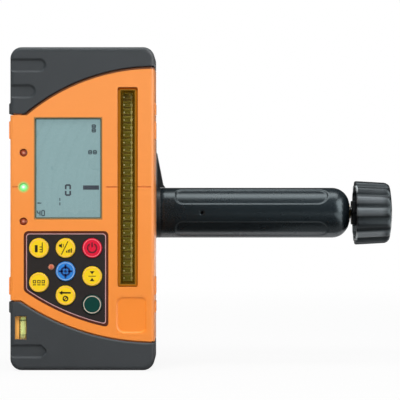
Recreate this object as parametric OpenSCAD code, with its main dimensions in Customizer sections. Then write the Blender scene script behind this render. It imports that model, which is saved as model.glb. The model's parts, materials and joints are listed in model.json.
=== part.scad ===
// Laser receiver with a staff clamp: a hand-held housing with display, sensor strip, keypad and
// level vial, bolted to a screw clamp whose side handle carries a fluted turning knob.
// X runs to the handle side, Y to the back, Z up. The origin is the centre of the foot face.

/* [Housing] */
// Width of the housing
body_w = 75; // [74:0.5:80]
// Height of the housing
body_h = 168; // [166:1:174]
// Depth of the housing, front face to back face
body_d = 36; // [35.5:0.5:39]
// Corner radius seen from the front
corner_r = 6; // [5:0.5:7]
// Rounding of the front and back edges
edge_r = 2.2; // [2:0.1:2.4]
// Wall of the two shells under the bumpers
wall = 2; // [1.8:0.1:2.4]
// Depth of the front shell
front_d = 20; // [19:0.5:21]
// Gap between the two shells, bridged by the seal
parting_gap = 0.4; // [0.3:0.05:0.6]
// Height of the on-grade line above the foot, as a share of the housing's height
grade_z_share = 0.56667; // [0.563:0.00001:0.571]
// Width of the engraved on-grade line
line_w = 0.7; // [0.5:0.1:0.9]
// Depth of the engraved on-grade line
line_depth = 0.4; // [0.3:0.1:0.6]
// Play between pieces that are pushed together
fit = 0.1; // [0.08:0.01:0.14]

/* [Bumpers] */
// Thickness of the bumper skin
bumper_t = 1.6; // [1.4:0.1:1.7]
// Width of the seam between bumpers and shells
seam = 0.8; // [0.5:0.1:1.1]
// Drop of the top seam below the top, handle side, as a share of the housing's height
top_near_drop_share = 0.0613; // [0.057:0.0001:0.065]
// Drop of the top seam below the top, far side, as a share of the housing's height
top_far_drop_share = 0.2089; // [0.203:0.0001:0.214]
// Sag of the curved top seam over the housing's width, as a share of the housing's height
top_sag_share = 0.1896; // [0.18:0.0001:0.2]
// Rise of the foot seam above the foot, handle side, as a share of the housing's height
foot_near_rise_share = 0.0875; // [0.084:0.0001:0.092]
// Rise of the foot seam above the foot, far side, as a share of the housing's height
foot_far_rise_share = 0.2143; // [0.209:0.0001:0.217]
// Sag of the curved foot seam over the housing's width, as a share of the housing's height
foot_sag_share = 0.1503; // [0.145:0.0001:0.156]
// Width of the finger grooves, as a share of the housing's height
groove_w_share = 0.0429; // [0.039:0.0001:0.045]
// Depth of the finger grooves
groove_depth = 1; // [0.5:0.1:1]
// Drop of the upper groove below the top, as a share of the housing's height
groove_drop_share = 0.0571; // [0.054:0.0001:0.06]
// Spacing of the two top grooves, as a share of the housing's height
groove_pitch_share = 0.0804; // [0.078:0.0001:0.083]
// Rise of the foot groove above the foot, as a share of the housing's height
groove_rise_share = 0.0595; // [0.057:0.0001:0.062]
// Length of the long grooves from the far side
groove_l = 18.8; // [17:0.1:20]
// Length of the short groove from the far side
short_groove_l = 13.4; // [12:0.1:14.5]
// Height of the side grip ribs above the sides
rib_t = 0.7; // [0.4:0.1:0.9]
// Reach of the side grip ribs from the front edge to the back
rib_l = 12; // [10:0.5:14]

/* [Display] */
// Width of the display opening, as a share of the housing's width
display_w_share = 0.4627; // [0.435:0.0001:0.473]
// Height of the display opening, as a share of the housing's height
display_h_share = 0.3113; // [0.298:0.0001:0.315]
// Inset of the display opening from the far side, as a share of the housing's width
display_inset_share = 0.1706; // [0.164:0.0001:0.176]
// Rise of the display's top edge above the on-grade line, as a share of the housing's height
display_rise_share = 0.2137; // [0.206:0.0001:0.216]
// Corner radius of the display opening
display_r = 1; // [0.6:0.1:1.4]
// Thickness of the housing lip over the display window
lip_t = 1; // [0.8:0.1:1.1]
// Overlap of the display window behind the lip
lip_over = 1.2; // [1:0.1:1.3]
// Thickness of the display window
window_t = 1.2; // [1:0.1:1.3]
// Thickness of the liquid crystal panel
lcd_t = 2.2; // [2:0.1:2.4]

/* [Sensor strip] */
// Width of the sensor window, as a share of the housing's width
sensor_w_share = 0.1373; // [0.132:0.0001:0.142]
// Height of the sensor window, as a share of the housing's height
sensor_h_share = 0.6161; // [0.596:0.0001:0.625]
// Inset of the sensor window's centre from the handle side, as a share of the housing's width
sensor_inset_share = 0.186; // [0.18:0.0001:0.19]
// Thickness of the sensor window
sensor_t = 1.6; // [1.4:0.1:1.8]
// Depth of the sensor window's face below the front face
sensor_sink = 0.3; // [0.2:0.05:0.4]
// Width of the ledge under the sensor window
ledge_w = 1.3; // [1.2:0.1:1.5]
// Wall of the light baffle behind the sensor window
baffle_t = 0.8; // [0.7:0.1:0.9]
// Spacing of the photodiodes
diode_pitch = 3.95; // [3.8:0.01:4.1]
// Height of one photodiode
diode_h = 3; // [2.6:0.1:3.2]
// Thickness of one photodiode
diode_t = 1; // [0.8:0.1:1.2]

/* [Keypad] */
// Width of the keypad overlay, as a share of the housing's width
keypad_w_share = 0.572; // [0.556:0.0001:0.58]
// Inset of the keypad overlay from the far side, as a share of the housing's width
keypad_inset_share = 0.0987; // [0.093:0.0001:0.099]
// Drop of the overlay's top edge below the on-grade line, as a share of the housing's height
keypad_drop_share = 0.1375; // [0.136:0.0001:0.14]
// Distance of the overlay's curved foot from the foot seam
keypad_margin = 6.4; // [6:0.1:6.8]
// Corner radius of the overlay
keypad_r = 2; // [1.5:0.1:2.5]
// Thickness of the overlay
overlay_t = 0.8; // [0.6:0.1:0.9]
// Diameter of one key, as a share of the room that one key has
key_d_share = 0.732; // [0.71:0.001:0.745]
// Spacing of the key columns, as a share of the housing's width
key_pitch_share = 0.184; // [0.18:0.0001:0.187]
// Drop of the first key row below the overlay's top edge, as a share of the overlay's height
key_drop_share = 0.1667; // [0.161:0.0001:0.172]
// Height of a key above the overlay
key_proud = 0.7; // [0.6:0.1:0.9]
// Width of the flange that holds a key under the overlay
key_flange_w = 0.55; // [0.45:0.05:0.6]
// Thickness of the flange that holds a key under the overlay
key_flange_t = 0.7; // [0.6:0.1:0.8]
// Diameter of a key stem
stem_d = 4; // [3.5:0.1:4.4]
// Press travel of a key
key_travel = 0.5; // [0.4:0.05:0.6]
// Free room around each key
key_room = 0.2; // [0.15:0.01:0.22]

/* [Lamps] */
// Diameter of a grade lamp
lamp_d = 3.9; // [3.5:0.1:4.2]
// Inset of the grade lamps from the far side, as a share of the housing's width
lamp_inset_share = 0.0933; // [0.091:0.0001:0.096]
// Spacing of the grade lamps, as a share of the housing's height
lamp_pitch_share = 0.106; // [0.104:0.0001:0.108]
// Diameter of the key lamp
key_lamp_d = 3.1; // [2.8:0.1:3.3]

/* [Level vial] */
// Width of the vial opening
vial_w = 6; // [5.8:0.1:6.2]
// Height of the vial opening, as a share of the housing's height
vial_h_share = 0.0714; // [0.069:0.0001:0.073]
// Inset of the vial opening from the far side
vial_inset = 2.5; // [2.3:0.1:2.7]
// Rise of the vial opening above the foot, as a share of the housing's height
vial_rise_share = 0.0964; // [0.095:0.0001:0.098]
// Diameter of the vial barrel
vial_d = 3.8; // [3.6:0.1:4]
// Bore of the vial barrel
vial_bore = 2.8; // [2.6:0.1:2.9]
// Length of the bubble
bubble_l = 5; // [4:0.1:6]

/* [Label recess] */
// Width of the bare label recess, as a share of the housing's width
label_w_share = 0.2187; // [0.21:0.0001:0.225]
// Height of the bare label recess, as a share of the housing's height
label_h_share = 0.1134; // [0.108:0.0001:0.119]
// Inset of the label recess from the handle side, as a share of the housing's width
label_inset_share = 0.056; // [0.053:0.0001:0.059]
// Rise of the label recess above the foot, as a share of the housing's height
label_rise_share = 0.114; // [0.112:0.0001:0.117]
// Corner radius of the label recess
label_r = 2; // [1.5:0.1:2.5]
// Depth of the label recess
label_depth = 0.6; // [0.3:0.05:0.7]
// Run of the label recess's sloped sides
label_slope = 0.9; // [0.6:0.1:1.2]

/* [Boards] */
// Gap from the front wall to the main board
board_gap = 3; // [2.9:0.1:3.2]
// Thickness of the main board
board_t = 1.6; // [1.4:0.1:1.8]
// Thickness of the sensor board
strip_t = 1.2; // [1:0.1:1.4]
// Side of a key switch
switch_w = 5; // [4.5:0.1:5.4]
// Diameter of the buzzer
buzzer_d = 20; // [18:0.5:21]
// Height of the buzzer
buzzer_h = 5; // [4:0.5:6]
// Width of the buzzer's sound slots
sound_slot_w = 1.4; // [1.2:0.1:1.6]
// Length of the buzzer's sound slots
sound_slot_l = 9; // [8:0.5:10]

/* [Battery bay] */
// Diameter of one cell
cell_d = 14.5; // [14.2:0.1:14.6]
// Length of one cell with its button, as a share of the housing's width
cell_l_share = 0.6645; // [0.652:0.0001:0.665]
// Diameter of the cell button
button_d = 5.5; // [5:0.1:6]
// Height of the cell button
button_h = 1; // [0.8:0.1:1.2]
// Spacing of the cells
cell_pitch = 15; // [14.9:0.1:15.2]
// Thickness of the battery contacts
contact_t = 0.8; // [0.6:0.1:0.9]
// Thickness of the battery door
door_t = 2.4; // [2.2:0.1:2.6]
// Rise of the door's lower edge above the foot
door_rise = 8; // [7.8:0.1:8.4]
// Height of the lock strip under the cells
lock_strip_h = 10.2; // [10:0.1:10.6]
// Width of the seal ring under the door
seal_w = 1.2; // [1:0.1:1.3]
// Thickness of the seal ring under the door
seal_t = 0.8; // [0.6:0.1:0.9]
// Free room around the door
door_room = 0.4; // [0.3:0.05:0.5]
// Radius of the hinge knuckles
knuckle_r = 1.8; // [1.7:0.05:1.9]
// Diameter of the hinge pin
pin_d = 2; // [1.8:0.1:2.1]
// Diameter of the door lock's head
lock_d = 8; // [7.5:0.1:8.2]
// Diameter of the door lock's shank
lock_shank_d = 4; // [3.6:0.1:4.1]
// Length of the shank behind the door
lock_reach = 2.8; // [2.4:0.1:3]
// Width of the coin slot in the lock
coin_slot_w = 1.5; // [1.2:0.1:1.8]
// Depth of the coin slot in the lock
coin_slot_depth = 1; // [0.8:0.1:1.1]

/* [Fasteners] */
// Shank diameter of the housing screws
screw_d = 3; // [2.8:0.1:3.1]
// Head diameter of the housing screws
screw_head_d = 5.2; // [5:0.1:5.4]
// Head height of the housing screws
screw_head_h = 2; // [1.8:0.1:2.2]
// Inset of the housing screws from the sides, as a share of the housing's width
screw_inset_share = 0.0737; // [0.073:0.0001:0.077]
// Shank diameter of the board screws
board_screw_d = 2; // [1.8:0.1:2.2]
// Shank diameter of the mounting screw
mount_d = 6.35; // [6:0.05:6.4]
// Head diameter of the mounting screw
mount_head_d = 13; // [12:0.2:14]
// Head height of the mounting screw
mount_head_h = 3; // [2.8:0.1:3.1]
// Thickness of the mounting washer
washer_t = 0.8; // [0.6:0.1:0.9]
// Rise of the mounting screw above the on-grade line
mount_rise = 16.8; // [16:0.2:18]

/* [Clamp] */
// Thickness of the clamp plate
plate_t = 6; // [5.6:0.1:6.6]
// Rise of the clamp plate above the on-grade line
plate_rise = 28.8; // [27.5:0.1:30]
// Inset of the clamp from the far side
clamp_inset = 2; // [1.6:0.1:2.4]
// Thickness of the fixed jaw
jaw_t = 5; // [4.6:0.1:5.6]
// Thickness of the jaw pads
pad_t = 1.4; // [1.2:0.1:1.6]
// Staff opening with the clamp closed
staff_min = 10; // [9:0.5:12]
// Thickness of the sliding jaw
slider_t = 8; // [7.6:0.1:8.4]
// Width of the tongue that guides the sliding jaw
tongue_w = 9; // [8:0.1:10]
// Depth of the tongue in the clamp plate
tongue_depth = 2.6; // [2.2:0.1:2.8]
// Thickness of the upright behind the handle
post_t = 6.1; // [5.8:0.1:6.6]
// Rise of the upright above the on-grade line
post_rise = 19; // [17:0.1:20]
// Reach of the fin along the handle
fin_reach = 3.4; // [3:0.1:4]

/* [Handle] */
// Diameter of the handle
handle_d = 27.4; // [27:0.1:28]
// Length of the handle
handle_l = 103.8; // [100:0.2:106]
// Rounding of the handle's end
handle_end_r = 9.5; // [8:0.1:10]
// Wall of the handle
handle_wall = 2.7; // [2.4:0.1:3]
// Length of the solid end of the handle
handle_end_l = 13; // [12:0.5:14]
// Length of the sunk grip panels
grip_l = 83.5; // [78:0.5:84]
// Width of the sunk grip panels
grip_w = 11.6; // [11:0.1:12]
// Corner radius of the sunk grip panels
grip_r = 4; // [3:0.1:4.5]
// Depth of the sunk grip panels
grip_depth = 0.7; // [0.5:0.05:0.9]
// Length of the spigot that carries the handle
spigot_l = 28; // [27:0.5:30]
// Distance of the handle pin from the handle's root
handle_pin_x = 22.7; // [20:0.1:23]

/* [Clamp screw and knob] */
// Diameter of the clamp screw
rod_d = 7; // [6.6:0.1:7.4]
// Diameter of the screw's neck in the sliding jaw
neck_d = 5; // [4.8:0.1:5.4]
// Running play of the turning pieces
play = 0.06; // [0.04:0.01:0.08]
// Diameter of the clip on the neck
clip_d = 9; // [8.5:0.1:9.4]
// Thickness of the clip on the neck
clip_t = 0.8; // [0.6:0.1:1]
// Width across the flats of the lock nut
lock_nut_w = 13; // [12.5:0.1:13.5]
// Thickness of the lock nut
lock_nut_h = 5; // [4.6:0.1:5.4]
// Gap between the handle's end and the lock nut
knob_gap = 1.1; // [0.8:0.1:1.4]
// Distance of the knob's rim from the handle's end
rim_gap = 3.5; // [3.2:0.1:3.8]
// Diameter of the knob
knob_d = 35.2; // [34:0.1:36]
// Length of the knob
knob_l = 19.7; // [19:0.1:21]
// Taper of the knob towards its end
knob_taper = 0.7; // [0.5:0.1:0.9]
// Wall of the knob
knob_wall = 3; // [2.8:0.1:3.4]
// Bulge of the knob's end
knob_bulge = 2; // [1.6:0.1:2.4]
// Cut of the knob's edges
knob_cut = 0.8; // [0.6:0.1:1]
// Radius of the knob's flutes
flute_r = 2.4; // [2:0.1:3]
// Depth of the knob's flutes
flute_depth = 1; // [0.7:0.05:1.1]

/* [Hidden] */
$fn = 72;

// Number of flutes round the knob
flute_count = 15;
// Places of the keys as column number and share of the overlay's height below the first row
key_shares = [[0, 0], [1, 0], [2, 0], [1, 0.237], [2, 0.286], [0, 0.349], [1, 0.482], [2, 0.575]];
// Place of the key lamp as shares of the key pitch and of the overlay's height below the first row
lamp_shares = [0.455, 0.192];
// Share of the overlay's height that one key has room in
key_room_share = 0.271;
// Places and lengths of the side ribs as shares of the housing's height
rib_shares = [[0.196, 0.037], [0.261, 0.056], [0.743, 0.056], [0.808, 0.037]];
// Share of the knuckle row that one door knuckle takes
knuckle_share = 0.22;
// Share of the door's width that the knuckle row takes
hinge_share = 0.9;
// Share of the fin's foot that runs out along the handle
fin_run_share = 0.5;

// Faces of the housing
left_x = -body_w / 2;
right_x = body_w / 2;
front_y = -body_d / 2;
back_y = body_d / 2;
skin = bumper_t + wall;
in_front_y = front_y + skin;
in_back_y = back_y - skin;
cavity_x = body_w / 2 - skin;
split_y = front_y + front_d;
over = wall;

// Sizes that go with the housing's width
display_w = body_w * display_w_share;
display_inset = body_w * display_inset_share;
sensor_w = body_w * sensor_w_share;
sensor_inset = body_w * sensor_inset_share;
keypad_w = body_w * keypad_w_share;
keypad_inset = body_w * keypad_inset_share;
key_pitch = body_w * key_pitch_share;
lamp_inset = body_w * lamp_inset_share;
label_w = body_w * label_w_share;
label_inset = body_w * label_inset_share;
label_x0 = right_x - label_inset - label_w;
cell_l = body_w * cell_l_share;
screw_inset = body_w * screw_inset_share;

// Sizes that go with the housing's height
grade_z = body_h * grade_z_share;
top_near_drop = body_h * top_near_drop_share;
top_far_drop = body_h * top_far_drop_share;
foot_near_rise = body_h * foot_near_rise_share;
foot_far_rise = body_h * foot_far_rise_share;
groove_w = body_h * groove_w_share;
groove_drop = body_h * groove_drop_share;
groove_pitch = body_h * groove_pitch_share;
groove_rise = body_h * groove_rise_share;
display_h = body_h * display_h_share;
display_rise = body_h * display_rise_share;
sensor_h = body_h * sensor_h_share;
keypad_drop = body_h * keypad_drop_share;
lamp_pitch = body_h * lamp_pitch_share;
vial_h = body_h * vial_h_share;
vial_rise = body_h * vial_rise_share;
label_h = body_h * label_h_share;
label_rise = body_h * label_rise_share;
top_sag = body_h * top_sag_share;
top_seam_r = (body_w * body_w + top_sag * top_sag) / (2 * top_sag);
foot_sag = body_h * foot_sag_share;
foot_seam_r = (body_w * body_w + foot_sag * foot_sag) / (2 * foot_sag);

// Seams
top_arc_z = body_h - top_near_drop - top_seam_r;
top_flat_z = body_h - top_far_drop;
foot_arc_z = foot_near_rise + foot_seam_r;
seal_in = bumper_t + wall / 4;

// Display stack
display_x = left_x + display_inset + display_w / 2;
display_z = grade_z + display_rise - display_h / 2;
window_y = front_y + lip_t;
lcd_y = window_y + window_t;
backlight_y = lcd_y + lcd_t;
board_y = in_front_y + board_gap;
stack_w = display_w + 2 * lip_over;
stack_h = display_h + 2 * lip_over;

// Sensor stack
sensor_x = right_x - sensor_inset;
sensor_y = front_y + sensor_sink;
ledge_y = sensor_y + sensor_t;
well_w = sensor_w - 2 * ledge_w;
well_h = sensor_h - 2 * ledge_w;
strip_y = board_y - strip_t;
diode_y = strip_y - diode_t;
baffle_w = well_w - 2 * fit;
baffle_h = well_h - 2 * fit;
diode_w = baffle_w - 2 * baffle_t - 2 * fit;
diode_count = floor((baffle_h - 2 * baffle_t) / diode_pitch);
strip_w = baffle_w + 2 * fit;

// Keypad
keypad_x = left_x + keypad_inset;
keypad_z = grade_z - keypad_drop;
keypad_foot_z = foot_arc_z - foot_seam_r + keypad_margin;
keypad_h = keypad_z - keypad_foot_z;
key_drop = keypad_h * key_drop_share;
key_d = key_d_share * min(key_pitch, key_room_share * keypad_h);
overlay_y = front_y + overlay_t;
key_col_x = keypad_x + keypad_w / 2 - key_pitch;
key_y = overlay_y + fit / 2;
key_floor_y = key_y + key_flange_t + key_travel + fit;
key_hole_r = key_d / 2 + key_room;
flange_r = key_d / 2 + key_flange_w;
switch_h = board_gap / 2 + fit;
stem_end_y = board_y - switch_h - key_travel - fit;
key_lamp_x = key_col_x + lamp_shares[0] * key_pitch;
key_lamp_z = keypad_z - key_drop - lamp_shares[1] * keypad_h;

// Lamps
lamp_x = left_x + lamp_inset;
lamp_y = front_y + fit;

// Level vial
vial_x = left_x + vial_inset + vial_w - vial_d / 2 - fit;
vial_mid_x = left_x + vial_inset + vial_w / 2;
vial_mid_z = vial_rise + vial_h / 2;
vial_y = front_y + bumper_t + vial_d / 2 + fit;
vial_back_y = vial_y + vial_d / 2 + fit;
vial_l = vial_h - 2 * fit;
plug_l = vial_bore / 4;
bubble_r = vial_bore / 2 - fit;
vial_z0 = vial_rise + fit;
vial_z1 = vial_z0 + vial_l;
fluid_z0 = vial_z0 + 2 * plug_l;
fluid_z1 = vial_z1 - plug_l;

// Main board
board_x = cavity_x - wall / 2;
board_z0 = vial_rise + vial_h + over + 3 * fit;
board_z1 = grade_z + sensor_h / 2 + ledge_w;
post_r = screw_d / 2 + wall - fit;
boss_r = board_screw_d / 2 + wall / 2;
boss_x = sensor_x - sensor_w / 2 - boss_r;
screw_x = body_w / 2 - screw_inset;
upper_screw_z = top_flat_z - seam - screw_head_d / 2 - fit;
screw_seat_y = back_y - screw_head_h - fit;
screw_tip_y = split_y - front_d / 3;
board_screw_places = [
    [boss_x, display_z + display_h / 2],
    [boss_x, grade_z],
    [boss_x, keypad_z - key_drop],
    [lamp_x, grade_z + lamp_pitch / 2],
    [lamp_x, grade_z - lamp_pitch / 2]
];

// Battery bay
bay_x = cell_l / 2 + contact_t + fit;
bay_z0 = door_rise + lock_strip_h;
bay_h = cell_pitch + cell_d + 2 * fit;
bay_z1 = bay_z0 + bay_h;
door_in_y = back_y - door_t;
pan_y = door_in_y - seal_t - fit;
pan_t = wall;
cell_y = pan_y - cell_d / 2 - fit;
bay_y = cell_y - cell_d / 2 - fit;
door_x = bay_x + seal_w + 3 * door_room + wall;
door_top_z = bay_z1 + seal_w + door_room;
hinge_y = back_y - door_room - knuckle_r;
hinge_z = door_top_z + door_room + knuckle_r;
hinge_room_r = knuckle_r + door_room;
hinge_x = door_x * hinge_share;
knuckle_l = 2 * hinge_x * knuckle_share;
knuckle_x = hinge_x / 2;
lug_gap = door_room / 2;
pan_top_z = hinge_z + hinge_room_r;
lower_screw_z = pan_top_z + wall + 2 * post_r;
screw_places = [
    for (x = [-screw_x, screw_x], z = [lower_screw_z, upper_screw_z]) [x, z]
];
lock_z = door_rise + lock_strip_h / 2;
lock_head_t = door_t / 2;
insert_r = lock_shank_d / 2 + door_room;
insert_l = lock_reach + wall;

// Mount
mount_z = grade_z + mount_rise;
mount_insert_l = body_d / 4;
mount_insert_r = mount_d / 2 + wall / 2;
peg_x = 3 * mount_head_d / 2;
peg_r = wall;
buzzer_x = body_w / 10;
buzzer_z = body_h - buzzer_d - skin * 2;

// Clamp
plate_y = back_y + plate_t;
handle_r = handle_d / 2;
axis_y = plate_y + handle_r;
axis_z = grade_z - handle_r;
clamp_x0 = left_x + clamp_inset;
jaw_x = clamp_x0 + jaw_t;
fixed_face_x = jaw_x + pad_t;
slide_face_x = fixed_face_x + staff_min;
slider_x0 = slide_face_x + pad_t;
slider_x1 = slider_x0 + slider_t;
post_end_x = right_x;
post_x = post_end_x - post_t;
root_x = post_end_x + clamp_inset;
jaw_top_y = axis_y + handle_r;
jaw_low_z = grade_z - handle_d;
slide_gap = 3 * fit;
tongue_y = plate_y - tongue_depth;
pad_margin = pad_t / 2;
clamp_round = handle_r / 4;
seat_y = plate_y - mount_head_h - washer_t - fit;

// Handle and screw
handle_end_x = root_x + handle_l;
bore_r = handle_r - handle_wall;
spigot_r = bore_r - fit;
rod_r = rod_d / 2;
rod_room_r = rod_r + 3 * fit;
nut_r = rod_r + wall;
nut_x = handle_end_x - handle_end_l + wall;
grip_x = root_x + (handle_l - grip_l) / 2 - grip_r / 2;
neck_r = neck_d / 2;
clip_x = slider_x0 + pad_t / 2;
clip_pocket = clip_x - slider_x0 + clip_t + fit;
neck_x0 = slider_x0 + fit;
lock_nut_x = handle_end_x + knob_gap;
rim_x = handle_end_x + rim_gap;
knob_end_x = rim_x + knob_l;
knob_r = knob_d / 2;
hub_r = lock_nut_w / 2;
hub_x = lock_nut_x + lock_nut_h;
hub_floor_x = knob_end_x - knob_bulge - 2 * knob_wall;
rod_end_x = knob_end_x - knob_wall - knob_bulge;
dome_r = (knob_r * knob_r + knob_bulge * knob_bulge) / (2 * knob_bulge);

// Lifts a shape drawn in X and Z to the span from y0 to y1
module along_y(y0, y1) {
    translate([0, y1, 0])
        rotate([90, 0, 0])
            linear_extrude(height = y1 - y0)
                children();
}

// Lifts a shape drawn in Y and Z to the span from x0 to x1
module along_x(x0, x1) {
    translate([x0, 0, 0])
        rotate([90, 0, 90])
            linear_extrude(height = x1 - x0)
                children();
}

// Round bar along Y at one place seen from the front
module rod_y(x, z, y0, y1, r) {
    translate([x, y1, z])
        rotate([90, 0, 0])
            cylinder(h = y1 - y0, r = r);
}

// Round bar along the clamp's axis
module rod_x(x0, x1, r) {
    translate([x0, axis_y, axis_z])
        rotate([0, 90, 0])
            cylinder(h = x1 - x0, r = r);
}

// Round bar along the hinge's axis
module hinge_rod(x0, x1, r) {
    translate([x0, hinge_y, hinge_z])
        rotate([0, 90, 0])
            cylinder(h = x1 - x0, r = r);
}

// Rectangle with rounded corners round its middle
module round_rect(w, h, r) {
    square([w - 2 * r, h], center = true);
    square([w, h - 2 * r], center = true);
    for (x = [-1, 1], z = [-1, 1]) {
        translate([x * (w / 2 - r), z * (h / 2 - r)])
            circle(r = r);
    }
}

// Half section of a block with both outer edges rounded
module edge_profile(r, d, e) {
    translate([0, -d / 2])
        square([r - e, d]);
    translate([0, e - d / 2])
        square([r, d - 2 * e]);
    for (s = [-1, 1]) {
        translate([r - e, s * (d / 2 - e)])
            circle(r = e);
    }
}

// One quarter of a block with rounded corners and edges
module block_quarter(w, h, d, r, e) {
    translate([w / 2 - r, 0, 0])
        linear_extrude(height = h / 2 - r)
            edge_profile(r, d, e);
    translate([w / 2 - r, 0, h / 2 - r])
        rotate([90, 0, 0])
            rotate_extrude(angle = 90)
                edge_profile(r, d, e);
    along_x(0, w / 2 - r)
        rotate([0, 0, 90])
            edge_profile(h / 2, d, e);
}

// Housing block drawn in by one distance all round
module housing_block(inset) {
    translate([0, 0, body_h / 2]) {
        for (a = [0, 1], b = [0, 1]) {
            mirror([a, 0, 0])
                mirror([0, 0, b])
                    block_quarter(
                        body_w - 2 * inset,
                        body_h - 2 * inset,
                        body_d - 2 * inset,
                        corner_r - inset,
                        edge_r - inset
                    );
        }
    }
}

// Raised grip ribs on both sides
module side_ribs() {
    for (share = rib_shares, s = [-1, 1]) {
        along_y(front_y + edge_r, front_y + edge_r + rib_l)
            translate([s * (body_w / 2 - corner_r / 2), body_h * share[0]])
                round_rect(corner_r + 2 * rib_t, body_h * share[1], rib_t);
    }
}

// Outside of the whole housing
module housing() {
    housing_block(0);
    side_ribs();
}

// Outside of the shells under the bumpers
module core() {
    housing_block(bumper_t);
}

// Area of the top bumper seen from the front, drawn in by a gap
module top_area(gap) {
    difference() {
        translate([-body_w, top_flat_z + gap])
            square([2 * body_w, body_h]);
        translate([right_x, top_arc_z])
            circle(r = top_seam_r + gap);
    }
}

// Area of the foot bumper seen from the front, drawn in by a gap
module foot_area(gap) {
    difference() {
        translate([-body_w, -body_h])
            square([2 * body_w, body_h + foot_far_rise - gap]);
        translate([right_x, foot_arc_z])
            circle(r = foot_seam_r + gap);
    }
}

// Area of the door pan on the back, grown by a gap
module pan_area(gap) {
    translate([-door_x - door_room - wall - gap, door_rise - door_room - wall - gap])
        square([
            2 * (door_x + door_room + wall + gap),
            pan_top_z - door_rise + door_room + 2 * wall + 2 * gap
        ]);
}

// Bed of a finger groove with sloped sides, sunk in the front from the far side
module groove_bed(z, l) {
    along_x(left_x, left_x + l)
        polygon([
            [front_y - over, z - groove_w / 2 - over],
            [front_y + groove_depth, z - groove_w / 2 + groove_depth],
            [front_y + groove_depth, z + groove_w / 2 - groove_depth],
            [front_y - over, z + groove_w / 2 + over]
        ]);
}

// Finger groove with a round end
module round_groove(z, l) {
    groove_bed(z, l - groove_w / 2);
    translate([left_x + l - groove_w / 2, front_y - over, z])
        rotate([-90, 0, 0])
            cylinder(h = groove_depth + over, r1 = groove_w / 2 + over, r2 = groove_w / 2 - groove_depth);
}

// Finger groove with a blunt end
module blunt_groove(z, l) {
    blunt = groove_w * 2 / 5;
    intersection() {
        groove_bed(z, l);
        along_y(front_y - over, front_y + groove_depth)
            polygon([
                [left_x, z - groove_w],
                [left_x + l - blunt - groove_w / 2, z - groove_w],
                [left_x + l, z + blunt - groove_w / 2],
                [left_x + l, z - blunt + groove_w / 2],
                [left_x + l - blunt - groove_w / 2, z + groove_w],
                [left_x, z + groove_w]
            ]);
    }
}

module grooves() {
    round_groove(body_h - groove_drop, groove_l);
    round_groove(body_h - groove_drop - groove_pitch, short_groove_l);
    blunt_groove(groove_rise, groove_l);
}

// Outside of both shells, full size between the bumpers
module shell_block() {
    difference() {
        housing();
        along_y(-body_d, body_d)
            top_area(-seam / 2);
        difference() {
            along_y(-body_d, body_d)
                foot_area(-seam / 2);
            along_y(split_y, body_d)
                pan_area(0);
        }
    }
    core();
}

// Space inside the shells
module cavity() {
    along_y(in_front_y, in_back_y)
        translate([0, body_h / 2])
            round_rect(2 * cavity_x, body_h - 2 * skin, corner_r - bumper_t - wall / 2);
}

// Slice of space between two depths
module slice(y0, y1) {
    along_y(y0, y1)
        translate([-body_w, -body_h / 2])
            square([2 * body_w, 2 * body_h]);
}

// Ring round the rim of the shells
module rim_ring(room) {
    difference() {
        translate([0, body_h / 2])
            round_rect(
                body_w - 2 * seal_in + 2 * room,
                body_h - 2 * seal_in + 2 * room,
                corner_r - bumper_t + room
            );
        translate([0, body_h / 2])
            round_rect(
                body_w - 2 * seal_in - wall - 2 * room,
                body_h - 2 * seal_in - wall - 2 * room,
                corner_r - bumper_t - wall / 2 - room
            );
    }
}

// Outline of the keypad overlay, drawn in by a gap
module keypad_area(gap) {
    intersection() {
        translate([keypad_x + keypad_w / 2, keypad_z - keypad_w])
            round_rect(keypad_w - 2 * gap, 2 * (keypad_w - gap), keypad_r);
        translate([right_x, foot_arc_z])
            circle(r = foot_seam_r - keypad_margin - gap);
    }
}

// Key place, seen from the front
function key_x(i) = key_col_x + key_shares[i][0] * key_pitch;
function key_z(i) = keypad_z - key_drop - key_shares[i][1] * keypad_h;

// Outlines of the windows, seen from the front
module display_area(w, h, r) {
    translate([display_x, display_z])
        round_rect(w, h, r);
}

module sensor_area(w, h, r) {
    translate([sensor_x, grade_z])
        round_rect(w, h, r);
}

module vial_area(w, h) {
    translate([vial_mid_x - w / 2, vial_mid_z - h / 2])
        square([w, h]);
}

// Sunk label field with sloped sides
module label_field() {
    intersection() {
        along_y(front_y - over, front_y + label_depth)
            translate([label_x0 + label_w / 2, label_rise + label_h / 2])
                round_rect(label_w, label_h, label_r);
        along_x(label_x0, label_x0 + label_w)
            polygon([
                [front_y - over, label_rise],
                [front_y, label_rise],
                [front_y + label_depth, label_rise + label_slope],
                [front_y + label_depth, label_rise + label_h - label_slope],
                [front_y, label_rise + label_h],
                [front_y - over, label_rise + label_h]
            ]);
        translate([label_x0, 0, label_rise])
            linear_extrude(height = label_h)
                polygon([
                    [0, front_y - over],
                    [0, front_y],
                    [label_slope, front_y + label_depth],
                    [label_w - label_slope, front_y + label_depth],
                    [label_w, front_y],
                    [label_w, front_y - over]
                ]);
    }
}

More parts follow.
